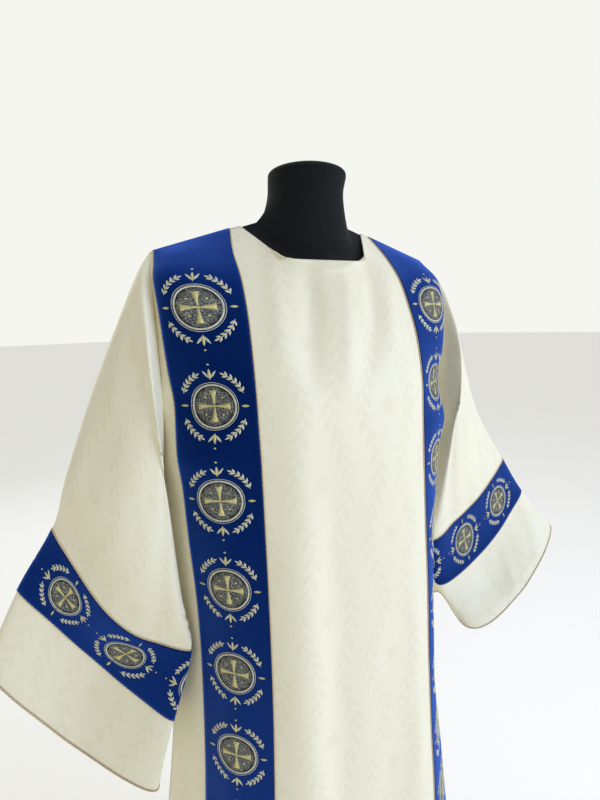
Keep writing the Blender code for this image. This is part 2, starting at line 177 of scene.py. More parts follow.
def relief(folds: Sequence[Fold], across: Array, along: Array) -> Array:
    """Height of all folds at each place.

    With t the share of the way from start to end, a fold is its height, times
    (1 - (2t - 1)^2) to the power 0.8, times a bell curve of the distance from its
    crest, which bows sideways by 4t(1 - t).

    Args:
        folds: the ridges and troughs.
        across: first coordinate of each place.
        along: second coordinate of each place.

    Returns:
        Heights, in the shape of the places.
    """
    total = np.zeros_like(across)
    for fold in folds:
        start, end = np.array(fold.start), np.array(fold.end)
        run = end - start
        length = np.hypot(*run)
        t = ((across - start[0]) * run[0] + (along - start[1]) * run[1]) / length**2
        aside = ((across - start[0]) * run[1] - (along - start[1]) * run[0]) / length
        inside = np.clip(1 - (2 * t - 1) ** 2, 0, 1)
        width = fold.half_width * (1 + (fold.flare - 1) * np.clip(t, 0, 1))
        total += fold.height * inside**0.8 * np.exp(-(((aside - fold.bow * inside) / width) ** 2))
    return total


def ripple(across: Array, along: Array, height: float) -> Array:
    """Slight unevenness of hanging cloth: a sum of long crossed sine waves.

    Args:
        across: first coordinate of each place.
        along: second coordinate of each place.
        height: of the first two waves.

    Returns:
        Heights, in the shape of the places.
    """
    total = np.zeros_like(across)
    for share, over, down, phase in WAVES:
        total = total + share * np.sin(across * over + along * down + phase)
    return height * total


# ---------------------------------------------------------------- surfaces and meshes


@dataclass
class Surface:
    """The outer side of a cloth, with its places on the flat cut.

    points, out: rows x columns x 3, places and outward directions.
    across, down: rows x columns, metres on the flat cut.
    looped: whether the last column lies on the first, as round a sleeve.
    """

    points: Array
    out: Array
    across: Array
    down: Array
    looped: bool = False

    def part(self, rows: slice, columns: slice) -> "Surface":
        """Some rows and columns of the surface.

        Args:
            rows: which rows.
            columns: which columns.

        Returns:
            That part, looped where it is the whole way round.
        """
        whole = self.looped and columns == slice(None)
        cut = (rows, columns)
        return Surface(self.points[cut], self.out[cut], self.across[cut], self.down[cut], whole)

    def cut_area(self) -> float:
        """Area of the cloth: half the length of the cross product of each cell's diagonals.

        Returns:
            Square metres.
        """
        p = self.points
        crossed = np.cross(p[1:, 1:] - p[:-1, :-1], p[1:, :-1] - p[:-1, 1:])
        return float(np.linalg.norm(crossed, axis=-1).sum() / 2)

    def cut_size(self) -> tuple[float, float]:
        """Greatest width and greatest length along the cloth.

        Returns:
            The two, metres.
        """
        width = lengths(self.points, axis=1)[:, -1].max()
        length = lengths(self.points, axis=0)[-1].max()
        return float(width), float(length)


def outward(points: Array, looped: bool) -> Array:
    """Outward directions of a grid: the direction down crossed with the direction along.

    Args:
        points: rows x columns x 3.
        looped: whether the last column lies on the first.

    Returns:
        Unit vectors, rows x columns x 3.
    """
    down = np.gradient(points, axis=0)
    along = np.gradient(points, axis=1)
    if looped:
        along[:, 0] = along[:, -1] = (points[:, 1] - points[:, -2]) / 2
    return unit(np.cross(down, along))


def linked(name: str, data: Any) -> bpy.types.Object:
    """An object for a mesh, a lamp or a camera, linked to the scene.

    Args:
        name: its name.
        data: the mesh, lamp or camera.

    Returns:
        The object.
    """
    made = bpy.data.objects.new(name, data)
    bpy.context.scene.collection.objects.link(made)
    return made


def riding(name: str, mesh: bpy.types.Mesh) -> bpy.types.Object:
    """An object for a mesh, linked and riding on the part's one body.

    Args:
        name: the piece's name.
        mesh: its mesh.

    Returns:
        The object.
    """
    made = linked(name, mesh)
    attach(made, "root")
    return made


def mesh_of(name: str, points: Array, corners: Array, starts: Array) -> bpy.types.Mesh:
    """A smooth-shaded mesh from whole arrays.

    Args:
        name: the mesh's name.
        points: vertices x 3.
        corners: vertex numbers of all the faces' corners, one face after another.
        starts: for each face, the number of its first corner.

    Returns:
        The mesh, whose edges are still to be worked out.
    """
    mesh = bpy.data.meshes.new(name)
    mesh.vertices.add(len(points))
    mesh.vertices.foreach_set("co", points.astype(np.float32).ravel())
    mesh.loops.add(len(corners))
    mesh.loops.foreach_set("vertex_index", corners.astype(np.int32))
    mesh.polygons.add(len(starts))
    mesh.polygons.foreach_set("loop_start", starts.astype(np.int32))
    mesh.polygons.foreach_set("use_smooth", np.ones(len(starts), dtype=bool))
    return mesh


def ring_of_quads(rows: int, columns: int, looped: bool) -> tuple[Array, Array]:
    """Faces of a grid, and each face's corner places in the unwrapped grid.

    Args:
        rows: rows of points.
        columns: columns of points, the repeated one of a loop included.
        looped: whether the last column is the first again.

    Returns:
        Vertex numbers (faces x 4) and unwrapped numbers (faces x 4).
    """
    own = columns - 1 if looped else columns
    r, c = np.meshgrid(np.arange(rows - 1), np.arange(columns - 1), indexing="ij")
    r, c = r.ravel(), c.ravel()
    corner_rows = np.stack([r, r + 1, r + 1, r], axis=1)
    corner_columns = np.stack([c, c, c + 1, c + 1], axis=1)
    return corner_rows * own + corner_columns % own, corner_rows * columns + corner_columns


def shell(name: str, surface: Surface, high: Any, low: Any) -> bpy.types.Object:
    """A closed thin wall of cloth between two distances from a surface.

    Args:
        name: the piece's name.
        surface: where it lies.
        high: distance of its outer side, one number or one for each point.
        low: distance of its inner side.

    Returns:
        The object, with its cut places as UV in metres.
    """
    rows, columns = surface.across.shape
    own = columns - 1 if surface.looped else columns
    high = np.broadcast_to(high, surface.across.shape)[..., None]
    low = np.broadcast_to(low, surface.across.shape)[..., None]
    outer = (surface.points + surface.out * high)[:, :own].reshape(-1, 3)
    inner = (surface.points + surface.out * low)[:, :own].reshape(-1, 3)
    cut = np.stack([surface.across, surface.down], axis=-1).reshape(-1, 2)
    quads, places = ring_of_quads(rows, columns, surface.looped)
    count = len(outer)
    faces = [quads, quads[:, ::-1] + count]
    uv = [cut[places], cut[places[:, ::-1]]]
    c = np.arange(columns - 1)
    for row, order in ((0, 1), (rows - 1, -1)):
        a, b = row * own + c, row * own + (c + 1) % own
        edge = np.stack([a, b, b + count, a + count], axis=1)[:, ::order]
        spot = row * columns + c
        spots = np.stack([spot, spot + 1, spot + 1, spot], axis=1)[:, ::order]
        faces.append(edge)
        uv.append(cut[spots])
    if not surface.looped:
        r = np.arange(rows - 1)
        for column, order in ((0, -1), (columns - 1, 1)):
            a, b = r * columns + column, (r + 1) * columns + column
            edge = np.stack([a, b, b + count, a + count], axis=1)[:, ::order]
            spots = np.stack([a, b, b, a], axis=1)[:, ::order]
            faces.append(edge)
            uv.append(cut[spots])
    corners = np.concatenate(faces)
    mesh = mesh_of(name, np.concatenate([outer, inner]), corners.ravel(), np.arange(0, corners.size, 4))
    mesh.uv_layers.new(name="Cut").data.foreach_set("uv", np.concatenate(uv).astype(np.float32).ravel())
    mesh.update(calc_edges=True)
    mesh.validate()
    return riding(name, mesh)


def turned(name: str, profile: Array, centre: tuple[float, float], sides: int) -> bpy.types.Object:
    """A closed solid of revolution: each row of the profile, x radius, y radius and height, is one ring.

    Args:
        name: the piece's name.
        profile: rings x 3, from the foot up; a flat fan closes each end.
        centre: x and y of the axis.
        sides: points round each ring.

    Returns:
        The object.
    """
    angles = np.linspace(0, 2 * np.pi, sides + 1)
    x = centre[0] + profile[:, :1] * np.cos(angles)
    y = centre[1] + profile[:, 1:2] * np.sin(angles)
    z = np.broadcast_to(profile[:, 2:], x.shape)
    return closed_rings(name, np.stack([x, y, z], axis=-1))


def closed_rings(name: str, rings: Array) -> bpy.types.Object:
    """A closed solid through rings that run upwards, each with its first point again at its end.

    Args:
        name: the piece's name.
        rings: rings x points x 3; the first and the last are closed by a fan to their middle.

    Returns:
        The object.
    """
    count, around = rings.shape[:2]
    own = around - 1
    quads, places = ring_of_quads(count, around, True)
    points = rings[:, :own].reshape(-1, 3)
    poles = np.stack([rings[0, :own].mean(axis=0), rings[-1, :own].mean(axis=0)])
    c = np.arange(own)
    d = (c + 1) % own
    foot = np.stack([np.full(own, len(points)), d, c], axis=1)
    top = np.stack([np.full(own, len(points) + 1), (count - 1) * own + c, (count - 1) * own + d], axis=1)
    girth = lengths(rings, axis=1)
    rise = np.broadcast_to(lengths(rings, axis=0)[:, :1], girth.shape)
    cut = np.stack([girth, rise], axis=-1).reshape(-1, 2)
    fans = np.concatenate([foot, top])
    return fanned(name, np.concatenate([points, poles]), quads[:, ::-1], fans, cut[places[:, ::-1]])


def fanned(name: str, points: Array, quads: Array, triangles: Array, uv: Array) -> bpy.types.Object:
    """A piece of quads and of triangles that close its ends, shaded smooth except over sharp edges.

    Args:
        name: the piece's name.
        points: vertices x 3.
        quads: faces x 4.
        triangles: faces x 3.
        uv: quads x 4 x 2; the triangles all get the cut's origin.

    Returns:
        The object.
    """
    mesh = bpy.data.meshes.new(name)
    mesh.from_pydata(points.tolist(), [], quads.tolist() + triangles.tolist())
    layer = mesh.uv_layers.new(name="Cut")
    flat = np.concatenate([uv.reshape(-1, 2), np.zeros((triangles.size, 2))])
    layer.data.foreach_set("uv", flat.astype(np.float32).ravel())
    mesh.validate()
    mesh.shade_smooth()
    mesh.set_sharp_from_angle(angle=SHARP)
    return riding(name, mesh)


# ---------------------------------------------------------------- finishes


WAVE_BANDS = 3.3  # about how many bands a wave texture of scale 1 draws in a metre


def linear(colour: str) -> tuple[float, float, float, float]:
    """A linear colour from sRGB hex such as "#E8E2D0".

    Args:
        colour: red, green and blue in sRGB hex.

    Returns:
        Red, green, blue and an alpha of 1.
    """
    channels = np.array([int(colour[i : i + 2], 16) for i in (1, 3, 5)]) / 255
    low, high = channels / 12.92, ((channels + 0.055) / 1.055) ** 2.4
    return (*np.where(channels <= 0.04045, low, high).tolist(), 1.0)


def feed(tree: bpy.types.NodeTree, made: Any, inputs: dict[Any, Any]) -> None:
    """Give a node's inputs their values.

    Args:
        tree: the tree that holds the node.
        made: the node.
        inputs: for each input's name or number, a value or the output that it is linked to.
    """
    for key, value in inputs.items():
        if isinstance(value, bpy.types.NodeSocket):
            tree.links.new(value, made.inputs[key])
        else:
            made.inputs[key].default_value = value


def node(tree: bpy.types.NodeTree, kind: str, inputs: dict[Any, Any] | None = None, **settings: Any) -> Any:
    """Add a node with its settings and links.

    Args:
        tree: the material's or the world's tree.
        kind: the node's type.
        inputs: as for feed.
        settings: the node's own properties.

    Returns:
        The node.
    """
    made = tree.nodes.new(kind)
    for name, value in settings.items():
        setattr(made, name, value)
    feed(tree, made, inputs or {})
    return made


class Shader:
    """A material's tree with a Principled shader; each way to add a node returns the node's output."""

    def __init__(self, name: str) -> None:
        """A new material of that name.

        Args:
            name: the material's name.
        """
        self.material = bpy.data.materials.new(name)
        self.material.use_nodes = True
        self.tree = self.material.node_tree

    def add(self, kind: str, output: Any, inputs: dict[Any, Any] | None = None, **settings: Any) -> Any:
        """Any node's output, chosen by its name or number."""
        return node(self.tree, kind, inputs, **settings).outputs[output]

    def cut(self) -> Any:
        """Places on the flat cut, metres."""
        return self.add("ShaderNodeUVMap", "UV", uv_map="Cut")

    def place(self) -> Any:
        """Places on the object, metres."""
        return self.add("ShaderNodeTexCoord", "Object")

    def attribute(self, name: str) -> Any:
        """A number that the mesh carries at its points."""
        return self.add("ShaderNodeAttribute", "Fac", attribute_name=name)

    def math(self, operation: str, *values: Any) -> Any:
        """The result of a sum on one, two or three numbers."""
        return self.add("ShaderNodeMath", 0, dict(enumerate(values)), operation=operation)

    def parts(self, vector: Any) -> Any:
        """The x, y and z of a vector."""
        return node(self.tree, "ShaderNodeSeparateXYZ", {0: vector}).outputs

    def spread(self, value: Any, start: float, end: float, low: float = 0.0, high: float = 1.0) -> Any:
        """A value brought from the range start to end to the range low to high, and held in it."""
        ends = {"From Min": start, "From Max": end, "To Min": low, "To Max": high}
        return self.add("ShaderNodeMapRange", 0, {"Value": value, **ends})

    def noise(self, place: Any, scale: float, detail: float) -> Any:
        """Soft noise of about that many spots a metre."""
        return self.add("ShaderNodeTexNoise", 0, {"Vector": place, "Scale": scale, "Detail": detail})

    def wave(self, place: Any, spacing: float, direction: str, **inputs: float) -> Any:
        """Bands at a spacing in metres, across the direction X or Y."""
        inputs = {"Vector": place, "Scale": 1 / spacing / WAVE_BANDS, **inputs}
        return self.add("ShaderNodeTexWave", "Fac", inputs, bands_direction=direction)

    def scaled(self, colour: Any, by: Any) -> Any:
        """A colour made darker or brighter."""
        return self.add("ShaderNodeVectorMath", 0, {0: colour, "Scale": by}, operation="SCALE")

    def mix(self, share: Any, first: Any, second: str) -> Any:
        """A colour between two; the first may be hex or an output.

        Args:
            share: 0 for the first and 1 for the second.
            first: a colour.
            second: a colour in hex.

        Returns:
            The colour output.
        """
        first = linear(first) if isinstance(first, str) else first
        inputs = {"Factor": share, "A": first, "B": linear(second)}
        tone = node(self.tree, "ShaderNodeMix", inputs, data_type="RGBA")
        return next(o for o in tone.outputs if o.type == "RGBA" and o.enabled)

    def bump(self, strength: float, distance: float, height: Any) -> Any:
        """A bumped normal; the distance is the relief's depth in metres."""
        return self.add("ShaderNodeBump", 0, {"Strength": strength, "Distance": distance, "Height": height})

    def finished(self, inputs: dict[str, Any]) -> bpy.types.Material:
        """The material, with values or outputs given to its Principled shader's own inputs."""
        feed(self.tree, self.tree.nodes["Principled BSDF"], inputs)
        return self.material


@dataclass(frozen=True)
class Damask:
    """Cream silk damask, jacquard woven: a satin ground with a duller weft figure.

    Undulating leafy stems stand in mirrored pairs, with a rosette between them.
    The cell is repeated with half drop, as a loom's pattern is. The figure has
    nearly the ground's colour and a lower gloss, so it comes and goes with the light.
    """

    ground: str = "#F0EACE"
    figure: str = "#EDE6C9"
    cell_width: float = 0.120  # one repeat of the loom's pattern
    cell_height: float = 0.200
    stem_middle: float = 0.033  # distance of a stem from the cell's middle line
    stem_swing: float = 0.012
    stem_width: float = 0.0012
    leaf_step: float = 0.025  # from one leaf to the next along a stem
    leaf_reach: float = 0.013  # how far a leaf stands off its stem
    leaf_width: float = 0.0052
    flower: float = 0.016  # radius of the rosette
    petals: float = 8.0
    soft_edge: float = 0.0010  # over which the figure's edges fade
    slub: float = 700.0  # uneven yarn, drawn at 1.4 mm where the real one has 0.4 mm

    def material(self) -> bpy.types.Material:
        """The silk's material, on the cut's own places.

        Returns:
            The material.
        """
        s = Shader("silk_damask_jacquard_woven")
        cut = s.cut()
        aside, along = self._cell(s, cut)
        figure = s.math("MAXIMUM", self._rosette(s, aside, along), self._stem(s, aside, along))
        relief_height = s.math("MULTIPLY_ADD", s.noise(cut, self.slub, 1.0), 0.5, figure)
        return s.finished({
            "Base Color": s.mix(figure, self.ground, self.figure),
            "Roughness": s.spread(figure, 0.0, 1.0, 0.48, 0.56),
            "Normal": s.bump(0.4, 0.00025, relief_height),
            "IOR": 1.54,
            "Specular IOR Level": 0.4,
            "Sheen Weight": 0.12,
            "Sheen Roughness": 0.35,
        })

    def _cell(self, s: Shader, cut: Any) -> tuple[Any, Any]:
        """Places in the repeat, metres: distance from the nearest middle line, and along from the rosette.

        Every second column is lowered by half a repeat, and each is its own mirror image.

        Args:
            s: the shader that gets the nodes.
            cut: places on the flat cut.

        Returns:
            The two outputs.
        """
        scale = (1 / self.cell_width, 1 / self.cell_height, 1.0)
        split = s.parts(s.add("ShaderNodeVectorMath", 0, {0: cut, 1: scale}, operation="MULTIPLY"))
        lowered = s.math("MULTIPLY_ADD", s.math("FLOOR", split[0]), 0.5, split[1])
        off = s.math("SUBTRACT", s.math("FRACT", split[0]), 0.5)
        aside = s.math("MULTIPLY", s.math("ABSOLUTE", off), self.cell_width)
        middle = s.math("SUBTRACT", s.math("FRACT", lowered), 0.5)
        return aside, s.math("MULTIPLY", middle, self.cell_height)

    def _rosette(self, s: Shader, aside: Any, along: Any) -> Any:
        """A rosette: 1 where the distance from its middle is under a radius waved by the angle.

        Args:
            s: the shader that gets the nodes.
            aside: output of _cell, metres from the middle line.
            along: output of _cell, metres along from the rosette.

        Returns:
            An output, 1 inside the rosette.
        """
        place = s.add("ShaderNodeCombineXYZ", 0, {0: aside, 1: along})
        reach = s.add("ShaderNodeVectorMath", "Value", {0: place}, operation="LENGTH")
        turns = s.math("MULTIPLY", s.math("ARCTAN2", along, aside), self.petals)
        edge = s.math("MULTIPLY_ADD", s.math("COSINE", turns), self.flower * 0.25, self.flower * 0.75)
        return s.spread(s.math("SUBTRACT", edge, reach), 0.0, self.soft_edge)

    def _stem(self, s: Shader, aside: Any, along: Any) -> Any:
        """A stem and its leaves: the stem swings as a sine along the repeat.

        With t the share of a leaf step, a leaf's middle line stands off the stem
        by its reach times t, and it is as wide as its width times sin(pi t). The
        leaves of the two sides alternate.

        Args:
            s: the shader that gets the nodes.
            aside: output of _cell, metres from the middle line.
            along: output of _cell, metres along from the rosette.

        Returns:
            An output, 1 on the stem and its leaves.
        """
        swing = s.math("COSINE", s.math("MULTIPLY", along, 2 * np.pi / self.cell_height))
        signed = s.math("SUBTRACT", aside, s.math("MULTIPLY_ADD", swing, self.stem_swing, self.stem_middle))
        off = s.math("ABSOLUTE", signed)
        stem = s.spread(off, self.stem_width, self.stem_width * 0.5)
        steps = s.math("MULTIPLY", along, 1 / self.leaf_step)
        t = s.math("FRACT", s.math("MULTIPLY_ADD", s.math("GREATER_THAN", signed, 0.0), 0.5, steps))
        lateral = s.math("ABSOLUTE", s.math("SUBTRACT", off, s.math("MULTIPLY", t, self.leaf_reach)))
        swell = s.math("SINE", s.math("MULTIPLY", t, np.pi))
        inside = s.math("SUBTRACT", s.math("MULTIPLY", swell, self.leaf_width), lateral)
        return s.math("MAXIMUM", stem, s.spread(inside, 0.0, self.soft_edge))


@dataclass(frozen=True)
class GalloonSilk:
    """Royal blue silk satin ribbon, ribbed in weaving, with a darker selvedge.

    Satin floats give it a broad cool highlight and a pale sheen at a glancing angle.
    """

    blue: str = "#020A2C"
    edge: str = "#070F26"
    selvedge: float = 0.0022  # width of the dark woven edge
    rib: float = 0.0024  # rib spacing, drawn coarser than the real 0.6 mm so that it shows

    def material(self) -> bpy.types.Material:
        """The ribbon's material: its cut places run across the ribbon and along it.

        Returns:
            The material.
        """
        s = Shader("silk_satin_ribbed_woven")
        cut = s.cut()
        half = GALLOON_WIDTH / 2
        off = s.math("ABSOLUTE", s.parts(cut)[0])
        border = s.spread(off, half - self.selvedge, half - self.selvedge * 0.6)
        worn = s.spread(s.noise(cut, 55.0, 3.0), 0.0, 1.0, 0.80, 1.20)
        return s.finished({
            "Base Color": s.mix(border, s.scaled(linear(self.blue)[:3], worn), self.edge),
            "Normal": s.bump(0.25, 0.0003, s.wave(cut, self.rib, "Y", Distortion=0.4)),
            "Roughness": 0.42,
            "Specular IOR Level": 0.10,
            "Specular Tint": linear("#4F8CFF"),
            "Sheen Weight": 1.0,
            "Sheen Roughness": 0.60,
            "Sheen Tint": linear("#2474FF"),
        })


@dataclass(frozen=True)
class MetalThread:
    """Metal-wrapped embroidery thread, couched: pale silver gilt with a fine twist."""

    pale: str = "#D9D8C0"
    bright: str = "#D3CA8C"
    twist: float = 0.0012  # twist spacing along the thread

    def material(self) -> bpy.types.Material:
        """The thread's material; the attribute gilt chooses between its two tones.

        Returns:
            The material.
        """
        s = Shader("silver_gilt_thread_couched")
        grain = s.noise(s.place(), 1 / self.twist, 1.0)
        tone = s.mix(s.attribute("gilt"), self.pale, self.bright)
        return s.finished({
            "Base Color": s.scaled(tone, s.spread(grain, 0.3, 0.7, 0.62, 1.25)),
            "Normal": s.bump(0.5, 0.0002, grain),
            "Metallic": 0.30,
            "Roughness": 0.48,
        })


@dataclass(frozen=True)
class ThreadGround:
    """Dark silk ground of the medallions, darned with dull metal thread: a mesh of grey gold on navy."""

    dark: str = "#080C1E"
    dull: str = "#85877C"
    mesh: float = 0.0028  # spacing of the darned net

    def material(self) -> bpy.types.Material:
        """The ground's material; the attribute gilt is 1 where the net of thread lies.

        Returns:
            The material.
        """
        s = Shader("navy_silk_darned_with_thread")
        net = s.add("ShaderNodeTexVoronoi", "Distance", {"Vector": s.place(), "Scale": 1 / self.mesh},
                    feature="DISTANCE_TO_EDGE")
        shown = s.math("MULTIPLY", s.spread(net, 0.15, 0.06), s.attribute("gilt"))
        return s.finished({
            "Base Color": s.mix(shown, self.dark, self.dull),
            "Normal": s.bump(0.5, 0.0003, shown),
            "Roughness": 0.55,
            "Specular IOR Level": 0.4,
        })


@dataclass(frozen=True)
class GiltBraid:
    """Antique gold cord, spun: brown gold, with the furrows between its plies painted darker as painted
    shade.
    """

    gold: str = "#D8C4A0"
    # painted shade: the darker colour given to the furrows between the plies
    painted_furrow_shade: str = "#A08A68"
    grain: float = 1400.0  # spots of uneven thread a metre

    def material(self) -> bpy.types.Material:
        """The cord's material; the attribute ply is 1 on the crowns of its plies.

        Returns:
            The material.
        """
        s = Shader("antique_gold_cord_spun")
        grain = s.noise(s.place(), self.grain, 1.0)
        # painted shade: the colour darkens from the plies' crowns into the furrows between them
        share = s.spread(s.math("ADD", s.attribute("ply"), grain), 0.4, 1.2)
        return s.finished({
            "Base Color": s.mix(share, self.painted_furrow_shade, self.gold),
            "Normal": s.bump(0.4, 0.0002, grain),
            "Metallic": 0.45,
            "Roughness": 0.5,
        })


@dataclass(frozen=True)
class JerseyCover:
    """Black cotton jersey, knitted and pulled tight over the form: matt, with a soft nap at its edges."""

    black: str = "#0A0C0F"
    knit: float = 0.0022  # spacing of the knit's wales, drawn coarser than the real 0.8 mm so that it shows

    def material(self) -> bpy.types.Material:
        """The cover's material.

        Returns:
            The material.
        """
        s = Shader("black_cotton_jersey_knitted")
        worn = s.spread(s.noise(s.place(), 90.0, 4.0), 0.0, 1.0, 0.7, 1.4)
        return s.finished({
            "Base Color": s.scaled(linear(self.black)[:3], worn),
            "Normal": s.bump(0.3, 0.0004, s.wave(s.cut(), self.knit, "X", Distortion=1.0, Detail=1.0)),
            "Roughness": 0.88,
            "Specular IOR Level": 0.25,
            "Sheen Weight": 0.05,
            "Sheen Tint": linear("#8C97A5"),
        })


@dataclass(frozen=True)
class PowderCoat:
    """Black polyester powder coat on steel, baked: half matt, with a fine orange-peel skin."""

    black: str = "#1C1D1F"
    peel: float = 420.0  # bumps of the skin a metre

    def material(self) -> bpy.types.Material:
        """The coat's material.

        Returns:
            The material.
        """
        s = Shader("black_powder_coated_steel")
        place = s.place()
        return s.finished({
            "Base Color": linear(self.black),
            "Roughness": s.spread(s.noise(place, 14.0, 5.0), 0.0, 1.0, 0.36, 0.56),
            "Normal": s.bump(0.2, 0.0002, s.noise(place, self.peel, 2.0)),
        })


@dataclass(frozen=True)
class PaleFloor:
    """Pale matt studio floor, painted: almost white, without gloss."""

    pale: str = "#F2F1EE"
    cloud: str = "#EEEDEA"
    glow: float = 0.16  # light that the floor adds, as in a room lit all round

    def material(self) -> bpy.types.Material:
        """The floor's material.

        Returns:
            The material.
        """
        s = Shader("pale_matt_floor_paint")
        return s.finished({
            "Base Color": s.mix(s.noise(s.place(), 1.3, 2.0), self.pale, self.cloud),
            "Roughness": 0.9,
            "Emission Color": linear("#FFFFFF"),
            "Emission Strength": self.glow,
        })


@dataclass
class Finishes:
    """Every finish, made once and shared by the pieces."""

    damask: bpy.types.Material = field(default_factory=Damask().material)
    galloon: bpy.types.Material = field(default_factory=GalloonSilk().material)
    thread: bpy.types.Material = field(default_factory=MetalThread().material)
    ground: bpy.types.Material = field(default_factory=ThreadGround().material)
    braid: bpy.types.Material = field(default_factory=GiltBraid().material)
    jersey: bpy.types.Material = field(default_factory=JerseyCover().material)
    powder: bpy.types.Material = field(default_factory=PowderCoat().material)


def dress(piece: bpy.types.Object, slot: str, *materials: bpy.types.Material) -> bpy.types.Object:
    """Give a piece its materials.

    Args:
        piece: the object.
        slot: the record's slot name; not used.
        materials: its finishes, in the order of its faces' numbers.

    Returns:
        The object.
    """
    for material in materials:
        piece.data.materials.append(material)
    return piece


# ---------------------------------------------------------------- embroidery


class Mesh(NamedTuple):
    """Points in the motif's own places, faces, tone of each point and finish of each face."""

    points: Array
    faces: Array
    tone: Array
    finish: Array


def joined(parts: Sequence[Mesh]) -> Mesh:
    """Several meshes as one.

    Args:
        parts: the meshes, in order.

    Returns:
        One mesh.
    """
    starts = np.cumsum([0] + [len(p.points) for p in parts[:-1]])
    return Mesh(
        np.concatenate([p.points for p in parts]),
        np.concatenate([p.faces + start for p, start in zip(parts, starts)]),
        np.concatenate([p.tone for p in parts]),
        np.concatenate([p.finish for p in parts]),
    )


def mirrored(part: Mesh, signs: Sequence[tuple[int, int]]) -> Mesh:
    """A mesh and its mirror images; an odd mirroring turns the faces' order round.

    Args:
        part: the mesh.
        signs: for each copy, -1 where it is mirrored across or along, and 1.

    Returns:
        The copies as one mesh.
    """
    copies = []
    for across, along in signs:
        points = part.points * np.array((across, along, 1.0))
        faces = part.faces if across * along > 0 else part.faces[:, ::-1]
        copies.append(Mesh(points, faces, part.tone, part.finish))
    return joined(copies)


